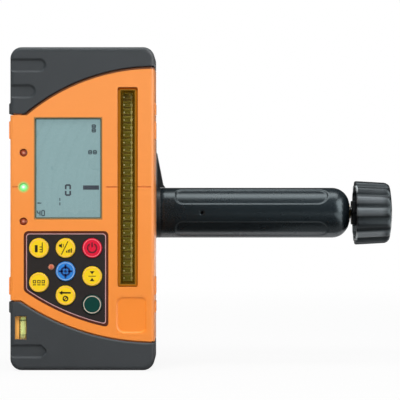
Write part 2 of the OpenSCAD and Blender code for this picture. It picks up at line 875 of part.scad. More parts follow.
module front_shell() {
    color("orange")
    difference() {
        union() {
            difference() {
                intersection() {
                    shell_block();
                    slice(-body_d, split_y);
                }
                cavity();
            }
            for (p = screw_places) {
                rod_y(p[0], p[1], in_front_y - over / 2, split_y, post_r);
            }
            for (p = board_screw_places) {
                rod_y(p[0], p[1], in_front_y - over / 2, board_y, boss_r);
            }
            along_y(in_front_y - over / 2, vial_back_y + wall)
                translate([left_x + bumper_t + fit, vial_rise - over])
                    square([vial_inset + vial_w + over - bumper_t - fit, vial_h + 2 * over]);
        }
        // Seal groove
        along_y(split_y - wall / 2, split_y + over)
            rim_ring(fit);
        // Screw holes
        for (p = screw_places) {
            rod_y(p[0], p[1], screw_tip_y - wall / 2, split_y + over, screw_d / 2 + fit / 2);
        }
        for (p = board_screw_places) {
            rod_y(p[0], p[1], in_front_y - wall / 2, board_y + over, board_screw_d / 2 + fit / 2);
        }
        // Display opening and the pocket behind its lip
        along_y(front_y - over, window_y + over)
            display_area(display_w, display_h, display_r);
        along_y(window_y, board_y)
            display_area(stack_w + 2 * fit, stack_h + 2 * fit, display_r);
        // Sensor slot
        along_y(front_y - over, ledge_y)
            sensor_area(sensor_w + 2 * fit, sensor_h + 2 * fit, display_r);
        along_y(ledge_y - over / 2, in_front_y + over)
            sensor_area(well_w, well_h, display_r / 2);
        // Keypad recess and key seats
        along_y(front_y - over, overlay_y)
            keypad_area(0);
        for (i = [0 : len(key_shares) - 1]) {
            rod_y(key_x(i), key_z(i), overlay_y - over / 2, key_floor_y, flange_r + key_room);
            rod_y(key_x(i), key_z(i), overlay_y, in_front_y + over, stem_d / 2 + key_room);
        }
        // Lamp holes
        for (k = [-1, 0, 1]) {
            rod_y(lamp_x, grade_z + k * lamp_pitch, front_y - over, board_y, lamp_d / 2 + fit);
        }
        rod_y(key_lamp_x, key_lamp_z, front_y - over, in_front_y + over, key_lamp_d / 2 + fit);
        // Vial trough
        along_y(front_y - over, vial_back_y)
            translate([vial_x - vial_d / 2 - fit, vial_rise])
                square([vial_d + 2 * fit, vial_h]);
        // Label recess
        label_field();
        // On-grade line
        along_y(front_y - over, front_y + line_depth) {
            translate([left_x - over, grade_z - line_w / 2])
                square([lamp_inset - lamp_d / 2 - lip_over + over, line_w]);
            translate([display_x + display_w / 2 + lip_over * 2, grade_z - line_w / 2])
                square([right_x - clamp_inset - display_x - display_w / 2 - lip_over * 2, line_w]);
        }
    }
}

module rear_shell() {
    color("orange")
    difference() {
        union() {
            difference() {
                intersection() {
                    shell_block();
                    slice(split_y + parting_gap, body_d);
                }
                cavity();
            }
            for (p = screw_places) {
                rod_y(p[0], p[1], split_y + parting_gap, in_back_y + over / 2, post_r);
            }
            // Door pan
            along_y(pan_y - pan_t, in_back_y + over / 2)
                pan_area(-fit);
            // Battery box
            along_y(bay_y - wall, pan_y)
                translate([0, (bay_z0 + bay_z1) / 2])
                    square([2 * (bay_x + wall), bay_h + 2 * wall], center = true);
            // Seat of the lock insert
            rod_y(0, lock_z, pan_y - insert_l - wall, pan_y, insert_r + 2 * wall);
            // Hinge block
            along_y(hinge_y - hinge_room_r - wall, in_back_y)
                translate([-hinge_x - wall, hinge_z - hinge_room_r])
                    square([2 * (hinge_x + wall), 2 * hinge_room_r + wall]);
            // Seat of the mounting insert
            rod_y(0, mount_z, back_y - mount_insert_l - wall, in_back_y + over / 2, mount_insert_r + wall);
        }
        // Screw holes
        for (p = screw_places) {
            rod_y(p[0], p[1], split_y - over, back_y, screw_d / 2 + fit);
            rod_y(p[0], p[1], screw_seat_y, back_y + over, screw_head_d / 2 + fit);
        }
        // Door recess and hinge trough, left standing at the lugs
        difference() {
            union() {
                along_y(pan_y, back_y + over)
                    translate([-door_x - door_room, door_rise - door_room])
                        square([2 * (door_x + door_room), hinge_z - door_rise + door_room]);
                hinge_rod(-hinge_x - door_room, hinge_x + door_room, hinge_room_r);
                along_y(hinge_y, back_y + over)
                    translate([-hinge_x - door_room, hinge_z - over])
                        square([2 * (hinge_x + door_room), over + hinge_room_r]);
            }
            for (k = [-1, 0, 1]) {
                hinge_lug(k);
            }
        }
        hinge_rod(-hinge_x - over, hinge_x, pin_d / 2 + fit / 2);
        // Cell space
        along_y(bay_y, pan_y + over)
            translate([0, (bay_z0 + bay_z1) / 2])
                square([2 * bay_x, bay_h], center = true);
        // Insert seats
        rod_y(0, lock_z, pan_y - insert_l, pan_y + over, insert_r + wall + fit);
        rod_y(0, mount_z, back_y - mount_insert_l, back_y + over, mount_insert_r + fit / 2);
        // Peg holes for the clamp frame
        for (s = [-1, 1]) {
            rod_y(s * peg_x, mount_z, back_y - wall, back_y + over, peg_r + fit);
        }
        // Sound slots
        along_y(in_back_y - over, back_y + over) {
            for (k = [-1, 0, 1]) {
                translate([buzzer_x, buzzer_z + k * 2 * sound_slot_w])
                    round_rect(sound_slot_l, sound_slot_w, sound_slot_w / 4);
            }
        }
    }
}

// Hinge lug of the shell: two at the ends and one between the door knuckles
module hinge_lug(k) {
    inner = k == 0 ? knuckle_x - knuckle_l / 2 - lug_gap : hinge_x - knuckle_x - knuckle_l / 2 - lug_gap;
    lug_x = k == 0 ? -inner : (k < 0 ? -hinge_x - door_room : hinge_x + door_room - inner - door_room);
    lug_l = k == 0 ? 2 * inner : inner + door_room;
    hinge_rod(lug_x, lug_x + lug_l, knuckle_r);
    along_y(hinge_y - hinge_room_r - over, hinge_y)
        translate([lug_x, hinge_z - knuckle_r])
            square([lug_l, 2 * knuckle_r]);
}

module top_bumper() {
    color("dimgray")
    difference() {
        intersection() {
            housing();
            along_y(-body_d, body_d)
                top_area(seam / 2);
        }
        housing_block(bumper_t - fit / 4);
        grooves();
    }
}

module bottom_bumper() {
    color("dimgray")
    difference() {
        intersection() {
            housing();
            along_y(-body_d, body_d)
                foot_area(seam / 2);
        }
        housing_block(bumper_t - fit / 4);
        grooves();
        along_y(front_y - over, 0)
            vial_area(vial_w, vial_h);
        along_y(split_y, body_d)
            pan_area(seam);
    }
}

module housing_seal() {
    color("black")
    along_y(split_y - wall / 2, split_y + parting_gap)
        rim_ring(0);
}

module housing_screws() {
    color("silver")
    for (p = screw_places) {
        difference() {
            union() {
                rod_y(p[0], p[1], screw_seat_y, screw_seat_y + screw_head_h, screw_head_d / 2);
                rod_y(p[0], p[1], screw_tip_y, screw_seat_y + screw_head_h / 2, screw_d / 2);
            }
            translate([p[0], screw_seat_y + screw_head_h, p[1]])
                rotate([90, 0, 0])
                    cylinder(h = screw_head_h / 2, r = screw_d / 2, $fn = 6);
        }
    }
}

module display_window() {
    color("lightcyan", 0.35)
    along_y(window_y, lcd_y)
        display_area(stack_w, stack_h, display_r);
}

module lcd_panel() {
    color("slategray")
    along_y(lcd_y, backlight_y)
        display_area(stack_w, stack_h, display_r);
}

module backlight_plate() {
    color("white")
    along_y(backlight_y, board_y)
        display_area(stack_w, stack_h, display_r);
}

module sensor_window() {
    color("darkgoldenrod", 0.5)
    along_y(sensor_y, ledge_y)
        sensor_area(sensor_w, sensor_h, display_r);
}

module light_baffle() {
    color("black")
    along_y(ledge_y + fit, strip_y)
        difference() {
            sensor_area(baffle_w, baffle_h, display_r / 2);
            sensor_area(baffle_w - 2 * baffle_t, baffle_h - 2 * baffle_t, display_r / 2);
        }
}

module sensor_board() {
    color("darkgreen")
    along_y(strip_y, board_y)
        sensor_area(strip_w, baffle_h + 2 * fit, display_r / 2);
}

module photodiodes() {
    color("olive")
    along_y(diode_y, strip_y) {
        for (i = [0 : diode_count - 1]) {
            translate([sensor_x, grade_z + (i - (diode_count - 1) / 2) * diode_pitch])
                square([diode_w, diode_h], center = true);
        }
    }
}

module keypad_overlay() {
    color("black")
    difference() {
        along_y(front_y, overlay_y)
            keypad_area(fit);
        for (i = [0 : len(key_shares) - 1]) {
            rod_y(key_x(i), key_z(i), front_y - over, overlay_y + over, key_hole_r);
        }
        rod_y(key_lamp_x, key_lamp_z, front_y - over, overlay_y + over, key_lamp_d / 2 + fit);
    }
}

// Key cap with a rounded rim on a flange and a stem
module key(i) {
    cap_r = key_d / 2;
    cap_h = key_y + key_flange_t - front_y + key_proud;
    crown = key_proud * 2 / 3;
    translate([key_x(i), key_y + key_flange_t, key_z(i)])
        rotate([90, 0, 0])
            rotate_extrude() {
                square([cap_r, cap_h - crown]);
                square([cap_r - crown, cap_h]);
                translate([cap_r - crown, cap_h - crown])
                    circle(r = crown);
            }
    rod_y(key_x(i), key_z(i), key_y, key_y + key_flange_t, flange_r);
    rod_y(key_x(i), key_z(i), key_y + key_flange_t / 2, stem_end_y, stem_d / 2);
}

module scale_key() {
    color("gold")
    key(0);
}

module sound_key() {
    color("gold")
    key(1);
}

module power_key() {
    color("crimson")
    key(2);
}

module auto_key() {
    color("dodgerblue")
    key(3);
}

module mark_key() {
    color("gold")
    key(4);
}

module function_key() {
    color("gold")
    key(5);
}

module clear_key() {
    color("gold")
    key(6);
}

module light_key() {
    color("darkgreen")
    key(7);
}

module key_switches() {
    color("silver")
    for (i = [0 : len(key_shares) - 1]) {
        along_y(board_y - switch_h, board_y)
            translate([key_x(i), key_z(i)])
                square([switch_w, switch_w], center = true);
    }
}

// Lamp with a domed front on the main board
module lamp(x, z, d) {
    dome_r = d;
    intersection() {
        rod_y(x, z, lamp_y, board_y, d / 2);
        union() {
            translate([x, lamp_y + dome_r, z])
                sphere(r = dome_r);
            rod_y(x, z, lamp_y + d / 3, board_y, d);
        }
    }
}

module key_lamp() {
    color("indianred")
    lamp(key_lamp_x, key_lamp_z, key_lamp_d);
}

module high_lamp() {
    color("red")
    lamp(lamp_x, grade_z + lamp_pitch, lamp_d);
}

module grade_lamp() {
    color("lime")
    lamp(lamp_x, grade_z, lamp_d);
}

module low_lamp() {
    color("red")
    lamp(lamp_x, grade_z - lamp_pitch, lamp_d);
}

module main_board() {
    color("green")
    difference() {
        along_y(board_y, board_y + board_t)
            translate([-board_x, board_z0])
                square([2 * board_x, board_z1 - board_z0]);
        for (p = screw_places) {
            rod_y(p[0], p[1], board_y - over, board_y + board_t + over, post_r + wall / 2);
        }
        for (p = board_screw_places) {
            rod_y(p[0], p[1], board_y - over, board_y + board_t + over, board_screw_d / 2 + fit);
        }
    }
}

module board_screws() {
    color("silver")
    for (p = board_screw_places) {
        rod_y(p[0], p[1], board_y + board_t, board_y + board_t + board_screw_d / 2, board_screw_d);
        rod_y(p[0], p[1], in_front_y, board_y + board_t + board_screw_d / 4, board_screw_d / 2);
    }
}

module buzzer() {
    color("black")
    difference() {
        rod_y(buzzer_x, buzzer_z, in_back_y - buzzer_h, in_back_y, buzzer_d / 2);
        rod_y(buzzer_x, buzzer_z, in_back_y - buzzer_h / 2, in_back_y + over, buzzer_d / 4);
    }
}

// Upright round piece on the vial's axis
module vial_rod(z0, z1, r) {
    translate([vial_x, vial_y, z0])
        cylinder(h = z1 - z0, r = r);
}

module level_vial() {
    color("greenyellow", 0.4)
    difference() {
        vial_rod(vial_z0, vial_z1, vial_d / 2);
        vial_rod(vial_z0 - over, fluid_z1, vial_bore / 2);
    }
}

module vial_fluid() {
    color("yellowgreen", 0.7)
    difference() {
        vial_rod(fluid_z0, fluid_z1 - fit, vial_bore / 2 - fit / 4);
        vial_rod(vial_mid_z - bubble_l / 2, vial_mid_z + bubble_l / 2, bubble_r);
    }
}

module vial_plug() {
    color("black")
    vial_rod(vial_z0, fluid_z0 - fit, vial_bore / 2 - fit / 4);
}

module battery_cells() {
    color("steelblue")
    for (k = [0, 1]) {
        translate([0, cell_y, bay_z0 + fit + cell_d / 2 + k * cell_pitch])
            rotate([0, 0, 180 * k])
                rotate([0, 90, 0])
                    translate([0, 0, -cell_l / 2]) {
                        cylinder(h = cell_l - button_h, d = cell_d);
                        cylinder(h = cell_l, d = button_d);
                    }
    }
}

module battery_contacts() {
    color("silver")
    for (s = [-1, 1]) {
        translate([s * (cell_l + contact_t + fit) / 2, cell_y, (bay_z0 + bay_z1) / 2])
            cube([contact_t, cell_d - 2 * wall, bay_h - wall], center = true);
    }
}

module battery_door() {
    color("orange")
    difference() {
        union() {
            along_y(door_in_y, back_y)
                translate([-door_x, door_rise])
                    square([2 * door_x, door_top_z - door_rise]);
            for (s = [-1, 1]) {
                hinge_rod(s * knuckle_x - knuckle_l / 2, s * knuckle_x + knuckle_l / 2, knuckle_r);
                along_y(door_in_y, hinge_y + knuckle_r)
                    translate([s * knuckle_x - knuckle_l / 2, door_top_z - door_t / 2])
                        square([knuckle_l, hinge_z - door_top_z + door_t / 2]);
            }
        }
        hinge_rod(-hinge_x, hinge_x, pin_d / 2 + play);
        rod_y(0, lock_z, back_y - lock_head_t - fit, back_y + over, lock_d / 2 + play);
        rod_y(0, lock_z, door_in_y - over, back_y, lock_shank_d / 2 + play);
    }
}

module door_seal() {
    color("black")
    along_y(door_in_y - seal_t, door_in_y)
        translate([0, (bay_z0 + bay_z1) / 2])
            difference() {
                square([2 * (bay_x + seal_w), bay_h + 2 * seal_w], center = true);
                square([2 * bay_x, bay_h], center = true);
            }
}

module door_hinge_pin() {
    color("silver")
    hinge_rod(-hinge_x, hinge_x - fit, pin_d / 2);
}

module door_lock() {
    color("silver")
    difference() {
        union() {
            rod_y(0, lock_z, back_y - lock_head_t, back_y, lock_d / 2);
            rod_y(0, lock_z, door_in_y - lock_reach, back_y - lock_head_t / 2, lock_shank_d / 2);
        }
        translate([0, back_y, lock_z])
            cube([lock_d - 2 * coin_slot_depth, 2 * coin_slot_depth, coin_slot_w], center = true);
    }
}

module door_lock_insert() {
    color("goldenrod")
    difference() {
        rod_y(0, lock_z, pan_y - insert_l, pan_y, insert_r + wall);
        rod_y(0, lock_z, pan_y - insert_l + wall / 2, pan_y + over, insert_r);
    }
}

module mount_insert() {
    color("goldenrod")
    difference() {
        rod_y(0, mount_z, back_y - mount_insert_l, back_y, mount_insert_r);
        rod_y(0, mount_z, back_y - mount_insert_l + wall / 2, back_y + over, mount_d / 2 + play);
    }
}

// Section of the jaws across the clamp, rounded at the free end
module jaw_section(inset) {
    round_y = jaw_top_y - inset - clamp_round;
    translate([back_y, jaw_low_z + inset])
        square([round_y - back_y, handle_d - 2 * inset]);
    translate([back_y, jaw_low_z + inset + clamp_round])
        square([jaw_top_y - inset - back_y, handle_d - 2 * inset - 2 * clamp_round]);
    for (z = [jaw_low_z + inset + clamp_round, grade_z - inset - clamp_round]) {
        translate([round_y, z])
            circle(r = clamp_round);
    }
}

module clamp_frame() {
    color("darkslategray")
    difference() {
        union() {
            // Plate against the back of the housing
            along_y(back_y, plate_y)
                translate([(clamp_x0 + post_end_x) / 2, (jaw_low_z + grade_z + plate_rise) / 2])
                    round_rect(post_end_x - clamp_x0, handle_d + plate_rise, clamp_round);
            // Fixed jaw
            along_x(clamp_x0, jaw_x)
                jaw_section(0);
            // Upright with its raised shoulder and the root of the handle
            along_x(post_x, post_end_x) {
                translate([back_y, axis_z])
                    square([axis_y - back_y, handle_r]);
                translate([back_y, jaw_low_z])
                    square([axis_y - back_y, handle_r]);
                polygon([
                    [back_y, grade_z - clamp_round],
                    [axis_y + handle_r / 2, grade_z - clamp_round],
                    [axis_y + handle_r / 3, grade_z + post_rise],
                    [back_y, grade_z + post_rise]
                ]);
            }
            rod_x(post_x, root_x, handle_r);
            rod_x(root_x - over, root_x + spigot_l, spigot_r);
            // Fin over the root of the handle
            along_y(axis_y - handle_r / 4, axis_y + handle_r / 4)
                polygon([
                    [post_x + over, axis_z + handle_r / 2],
                    [post_end_x + fin_reach / 2, axis_z + handle_r / 2],
                    [post_end_x + fin_reach / 2, grade_z + fit],
                    [post_end_x + fin_reach * 4 / 3, grade_z + fit],
                    [post_end_x + fin_reach, grade_z + fin_reach * fin_run_share],
                    [post_end_x, grade_z + post_rise],
                    [post_x + over, grade_z + post_rise]
                ]);
            // Pegs into the housing
            for (s = [-1, 1]) {
                rod_y(s * peg_x, mount_z, back_y - wall + fit, back_y + over, peg_r);
            }
        }
        // Guide groove of the sliding jaw
        along_y(tongue_y - slide_gap, plate_y + over)
            translate([jaw_x, axis_z - tongue_w / 2 - slide_gap])
                square([post_x - jaw_x, tongue_w + 2 * slide_gap]);
        // Mounting hole and its counterbore
        rod_y(0, mount_z, back_y - over, plate_y + over, mount_d / 2 + fit);
        rod_y(0, mount_z, seat_y, plate_y + over, mount_head_d / 2 + 3 * fit);
        // Bore for the clamp screw
        rod_x(post_x - over, root_x + spigot_l + over, rod_room_r);
        // Hole for the handle pin
        rod_y(
            root_x + handle_pin_x, axis_z, axis_y - handle_r,
            axis_y - spigot_r + 2 * wall, pin_d / 2 + fit / 2
        );
    }
}

module mount_screw() {
    color("silver")
    difference() {
        union() {
            rod_y(0, mount_z, seat_y + washer_t, seat_y + washer_t + mount_head_h, mount_head_d / 2);
            rod_y(0, mount_z, back_y - mount_insert_l + wall, seat_y + 2 * washer_t, mount_d / 2);
        }
        translate([0, seat_y + washer_t + mount_head_h, mount_z])
            cube([mount_head_d + over, 2 * coin_slot_depth, coin_slot_w], center = true);
    }
}

module mount_washer() {
    color("gray")
    difference() {
        rod_y(0, mount_z, seat_y, seat_y + washer_t, mount_head_d / 2);
        rod_y(0, mount_z, seat_y - over, seat_y + over, mount_d / 2 + fit);
    }
}

// Rubber pad with upright ridges on a jaw face, rising in the direction given
module jaw_pad(face_x, dir) {
    pad_y0 = plate_y + 2 * pad_margin;
    pad_w = jaw_top_y - pad_margin * 2 - pad_y0;
    ridge = pad_w / 9;
    translate([face_x, pad_y0, jaw_low_z + 2 * pad_margin]) {
        translate([dir > 0 ? 0 : -pad_t / 2, 0, 0])
            cube([pad_t / 2, pad_w, handle_d - 4 * pad_margin]);
        for (k = [0 : 4]) {
            translate([dir > 0 ? pad_t / 4 : -pad_t, 2 * k * ridge, 0])
                cube([pad_t * 3 / 4, ridge, handle_d - 4 * pad_margin]);
        }
    }
}

module fixed_jaw_pad() {
    color("black")
    jaw_pad(jaw_x, 1);
}

module sliding_jaw() {
    color("darkslategray")
    difference() {
        union() {
            intersection() {
                along_x(slider_x0, slider_x1)
                    jaw_section(fit);
                slice(plate_y + slide_gap, plate_y + body_d);
            }
            translate([slider_x0, tongue_y, axis_z - tongue_w / 2])
                cube([slider_t, tongue_depth + 2 * slide_gap, tongue_w]);
        }
        rod_x(slider_x0 - over, slider_x1 + over, neck_r + play);
        rod_x(slider_x0 - over, slider_x0 + clip_pocket, clip_d / 2 + slide_gap);
    }
}

module sliding_jaw_pad() {
    color("black")
    jaw_pad(slider_x0, -1);
}

module handle_grip() {
    color("darkslategray")
    difference() {
        translate([root_x, axis_y, axis_z])
            rotate([0, 90, 0])
                rotate_extrude() {
                    square([handle_r, handle_l - handle_end_r]);
                    square([handle_r - handle_end_r, handle_l]);
                    intersection() {
                        translate([handle_r - handle_end_r, handle_l - handle_end_r])
                            circle(r = handle_end_r);
                        square([handle_r, handle_l]);
                    }
                }
        rod_x(root_x - over, handle_end_x - handle_end_l, bore_r);
        rod_x(nut_x, handle_end_x + over, nut_r + fit / 2);
        rod_x(root_x, handle_end_x, rod_room_r);
        rod_y(root_x + handle_pin_x, axis_z, axis_y - handle_d, axis_y, pin_d / 2 + fit / 2);
        // Sunk grip panels on the four diagonals
        difference() {
            for (a = [45 : 90 : 315]) {
                translate([grip_x + grip_l / 2, axis_y, axis_z])
                    rotate([a, 0, 0])
                        linear_extrude(height = handle_d)
                            round_rect(grip_l, grip_w, grip_r);
            }
            rod_x(root_x - over, handle_end_x + over, handle_r - grip_depth);
        }
    }
}

module handle_pin() {
    color("silver")
    rod_y(
        root_x + handle_pin_x, axis_z, axis_y - handle_r + wall / 2,
        axis_y - spigot_r + 2 * wall - fit, pin_d / 2
    );
}

module screw_nut() {
    color("goldenrod")
    difference() {
        rod_x(nut_x, handle_end_x, nut_r);
        rod_x(nut_x - over, handle_end_x + over, rod_r + play);
    }
}

module clamp_screw() {
    color("silver")
    difference() {
        union() {
            rod_x(slider_x1 + play, rod_end_x, rod_r);
            rod_x(neck_x0, slider_x1 + over, neck_r);
        }
        difference() {
            rod_x(clip_x, clip_x + clip_t, neck_r + over);
            rod_x(clip_x - over, clip_x + clip_t + over, neck_r - wall / 4);
        }
    }
}

module jaw_clip() {
    color("gray")
    difference() {
        rod_x(clip_x + play, clip_x + clip_t - play, clip_d / 2);
        rod_x(clip_x - over, clip_x + clip_t + over, neck_r - wall / 4 + play);
        translate([clip_x - over, axis_y - neck_r / 2, axis_z - clip_d])
            cube([clip_t + 2 * over, neck_r, clip_d]);
    }
}

module clamp_knob() {
    color("dimgray")
    difference() {
        translate([rim_x, axis_y, axis_z])
            rotate([0, 90, 0])
                rotate_extrude()
                    difference() {
                        intersection() {
                            polygon([
                                [0, 0],
                                [knob_r - knob_cut, 0],
                                [knob_r, knob_cut],
                                [knob_r - knob_taper, knob_l - knob_bulge - knob_cut],
                                [knob_r - knob_taper - knob_bulge - knob_cut, knob_l],
                                [0, knob_l]
                            ]);
                            translate([0, knob_l - dome_r])
                                circle(r = dome_r);
                        }
                        // Hollow round the hub
                        translate([hub_r, -over])
                            square([knob_r - knob_wall - hub_r, hub_floor_x - rim_x + over]);
                        translate([0, -over])
                            square([hub_r + over, hub_x - rim_x + over]);
                        square([rod_r + fit / 4, rod_end_x - rim_x]);
                    }
        // Flutes
        for (i = [0 : flute_count - 1]) {
            translate([rim_x - over, axis_y, axis_z])
                rotate([i * 360 / flute_count, 0, 0])
                    translate([0, 0, knob_r + flute_r - flute_depth])
                        rotate([0, 90, 0])
                            cylinder(h = knob_l + 2 * over, r = flute_r);
        }
    }
}

module knob_lock_nut() {
    color("gray")
    difference() {
        translate([lock_nut_x, axis_y, axis_z])
            rotate([0, 90, 0])
                rotate([0, 0, 30])
                    cylinder(h = lock_nut_h, d = lock_nut_w / cos(30), $fn = 6);
        rod_x(lock_nut_x - over, hub_x + over, rod_r + fit / 4);
    }
}

front_shell();
rear_shell();
top_bumper();
bottom_bumper();
housing_seal();
housing_screws();
display_window();
lcd_panel();
backlight_plate();
sensor_window();
light_baffle();
sensor_board();
photodiodes();
keypad_overlay();
scale_key();
sound_key();
power_key();
auto_key();
function_key();
mark_key();
clear_key();
light_key();
key_switches();
key_lamp();
high_lamp();
grade_lamp();
low_lamp();
main_board();
board_screws();
buzzer();
level_vial();
vial_fluid();
vial_plug();
battery_cells();
battery_contacts();
battery_door();
door_seal();
door_hinge_pin();
door_lock();
door_lock_insert();
mount_insert();
clamp_frame();
mount_screw();
mount_washer();
fixed_jaw_pad();
sliding_jaw();
sliding_jaw_pad();
handle_grip();
handle_pin();
screw_nut();
clamp_screw();
jaw_clip();
clamp_knob();
knob_lock_nut();
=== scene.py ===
"""Laser receiver on a staff clamp: surfaces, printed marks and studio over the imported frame."""
import json
from math import acos, cos, hypot, pi, radians, sin, sqrt

import bmesh
import bpy
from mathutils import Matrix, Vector


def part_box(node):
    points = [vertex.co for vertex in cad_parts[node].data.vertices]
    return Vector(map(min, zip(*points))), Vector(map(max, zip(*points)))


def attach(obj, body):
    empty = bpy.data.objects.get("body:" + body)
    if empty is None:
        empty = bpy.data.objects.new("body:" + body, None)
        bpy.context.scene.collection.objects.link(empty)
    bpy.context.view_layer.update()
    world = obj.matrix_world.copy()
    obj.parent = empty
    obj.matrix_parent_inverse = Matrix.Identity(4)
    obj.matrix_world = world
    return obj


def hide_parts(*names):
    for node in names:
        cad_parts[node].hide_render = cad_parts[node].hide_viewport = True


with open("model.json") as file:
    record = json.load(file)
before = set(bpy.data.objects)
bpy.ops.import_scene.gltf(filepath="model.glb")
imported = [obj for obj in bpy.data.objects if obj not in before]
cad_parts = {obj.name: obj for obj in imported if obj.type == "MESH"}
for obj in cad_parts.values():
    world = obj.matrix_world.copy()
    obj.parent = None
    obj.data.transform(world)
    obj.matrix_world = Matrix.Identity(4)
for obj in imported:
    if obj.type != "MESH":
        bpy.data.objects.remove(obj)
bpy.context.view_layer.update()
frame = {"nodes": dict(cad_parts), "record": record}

bl_info = {
    "name": "Laser Receiver",
    "version": (1, 0, 0),
    "blender": (4, 5, 0),
    "location": "View3D > Sidebar > Receiver",
    "description": "Builds the surfaces, marks and studio of a laser receiver with a staff clamp",
    "category": "Object",
}

MM = 0.001
BODIES = frame["record"]["behaviour"]["bodies"]
BODY_OF = {node: body for body, nodes in BODIES.items() for node in nodes}
SLOT_OF = {part["node"]: part["material_slot"] for part in frame["record"]["subparts"]}

# Millimetres: thickness of a print, and how far a key's crown is lowered for it
PRINT_T, PRINT_SINK = 0.03, 0.04
# Millimetres: the two curved seams between the shell and its bumpers, as arcs seen from the front
ARC_X = 37.5
TOP_ARC_Z, TOP_ARC_R = 53.48, 104.22
FOOT_ARC_Z, FOOT_ARC_R = 138.7, 124.0
# Metres: depths between which a tone on the housing's front face fades in
FRONT_FACE = (-0.0155, -0.0165)


def screen(red, green, blue):
    """Linear colour of a screen colour from 0 to 255."""
    def straight(v):
        v /= 255
        return v / 12.92 if v <= 0.04045 else ((v + 0.055) / 1.055) ** 2.4
    return straight(red), straight(green), straight(blue)


def toned(colour, factor):
    """Colour made lighter or darker."""
    return tuple(min(1.0, c * factor) for c in colour)


def colour_prop(name, about, colour):
    return bpy.props.FloatVectorProperty(
        name=name, description="Colour of " + about, default=colour, size=3, min=0, max=1,
        subtype="COLOR")


def length_prop(name, about, millimetres):
    return bpy.props.FloatProperty(
        name=name, description=about, default=millimetres * MM, precision=5, unit="LENGTH")


def share_prop(name, about, value):
    return bpy.props.FloatProperty(name=name, description=about, default=value, min=0, max=5)


def power_prop(name, about, watts):
    return bpy.props.FloatProperty(name=name, description=about, default=watts, min=0, subtype="POWER")


class HousingLooks(bpy.types.PropertyGroup):
    """Looks of the shells and bumpers."""
    shell: colour_prop("Shell", "the shells and the battery door", screen(240, 147, 72))
    bumper: colour_prop("Bumper", "the soft end bumpers", screen(57, 61, 64))
    shell_edge: length_prop("Shell edge", "Rounding of the shells' moulded edges", 0.4)
    bumper_edge: length_prop("Bumper edge", "Rounding of the bumpers' edges", 0.8)


class DisplayLooks(bpy.types.PropertyGroup):
    """Looks of the display and the sensor strip."""
    panel: colour_prop("Panel", "the liquid crystal panel", screen(139, 170, 172))
    digits: colour_prop("Digits", "a driven segment", screen(46, 52, 64))
    wide: length_prop("Width", "Width of the opening over the panel", 34.7)
    high: length_prop("Height", "Height of the opening over the panel", 52.4)
    # Painted light: share of the panel's tone given as a glow in place of lit colour, which evens out the
    # shade on the panel; the display itself is not lit
    painted_glow: share_prop("Backlight", "Share of the panel's light that comes from behind", 0.75)
    amber: colour_prop("Amber", "the sensor window", screen(118, 84, 8))
    diode: colour_prop("Diode", "the photodiodes", screen(150, 146, 62))


class KeypadLooks(bpy.types.PropertyGroup):
    """Looks of the keypad and the lamps."""
    film: colour_prop("Film", "the keypad film", screen(45, 41, 40))
    border: colour_prop("Border", "the border line", screen(196, 150, 150))
    yellow: colour_prop("Yellow", "the yellow keys", screen(240, 203, 24))
    red: colour_prop("Red", "the power key", screen(215, 22, 54))
    blue: colour_prop("Blue", "the automatic key", screen(42, 124, 206))
    green: colour_prop("Green", "the light key", screen(10, 62, 55))
    lit: share_prop("Lit lamp", "Strength of the lit on-grade lamp", 0.55)


class ClampLooks(bpy.types.PropertyGroup):
    """Looks of the staff clamp."""
    plastic: colour_prop("Plastic", "the clamp and the handle", screen(23, 30, 34))
    knob: colour_prop("Knob", "the turning knob", screen(80, 84, 87))
    edge: length_prop("Edge", "Rounding of the clamp's edges", 0.5)
    thread_lead: length_prop("Thread lead", "Travel of the jaw in one turn", 3.0)
    thread_depth: length_prop("Thread depth", "Depth of the screw's thread", 0.42)


class StageLooks(bpy.types.PropertyGroup):
    """Camera, lamps and floor."""
    camera_x: length_prop("Camera X", "Camera place across the front", 61.1)
    camera_y: length_prop("Camera Y", "Camera place in front of the housing", -918.0)
    camera_z: length_prop("Camera Z", "Camera height", 88.5)
    view_width: length_prop("View width", "Width of the view at the front face", 207.55)
    ambient: share_prop("Ambient", "Light from all round on dull surfaces", 0.36)
    sheen: share_prop("Sheen", "Light from all round seen in gloss", 0.05)
    front: power_prop("Front", "Power of the front lamp", 34.5)
    top: power_prop("Top", "Power of the overhead lamp", 7.0)
    side: power_prop("Side", "Power of the strip lamp beside the knob", 25.0)


class Term:
    """Shader socket that takes part in plain arithmetic."""

    def __init__(self, paint, socket):
        self.paint = paint
        self.socket = socket

    def run(self, operation, *others):
        terms = dict(enumerate((self, *others)))
        return self.paint.node("ShaderNodeMath", {"operation": operation}, terms)

    def __add__(self, other):
        return self.run("ADD", other)

    def __sub__(self, other):
        return self.run("SUBTRACT", other)

    def __rsub__(self, other):
        return self * -1.0 + other

    def __mul__(self, other):
        return self.run("MULTIPLY", other)

    __radd__, __rmul__ = __add__, __mul__

    def __truediv__(self, other):
        return self.run("DIVIDE", other)

    def __pow__(self, other):
        return self.run("POWER", other)

    def size(self):
        return self.run("ABSOLUTE")

    def from_nearest(self, pitch):
        """Distance from the nearest of evenly spaced places."""
        return self.run("PINGPONG", pitch / 2)

    def rise(self, start, end):
        """Smooth step from 0 at start to 1 at end."""
        return self.paint.node(
            "ShaderNodeMapRange", {"interpolation_type": "SMOOTHSTEP"},
            {"Value": self, "From Min": start, "From Max": end})


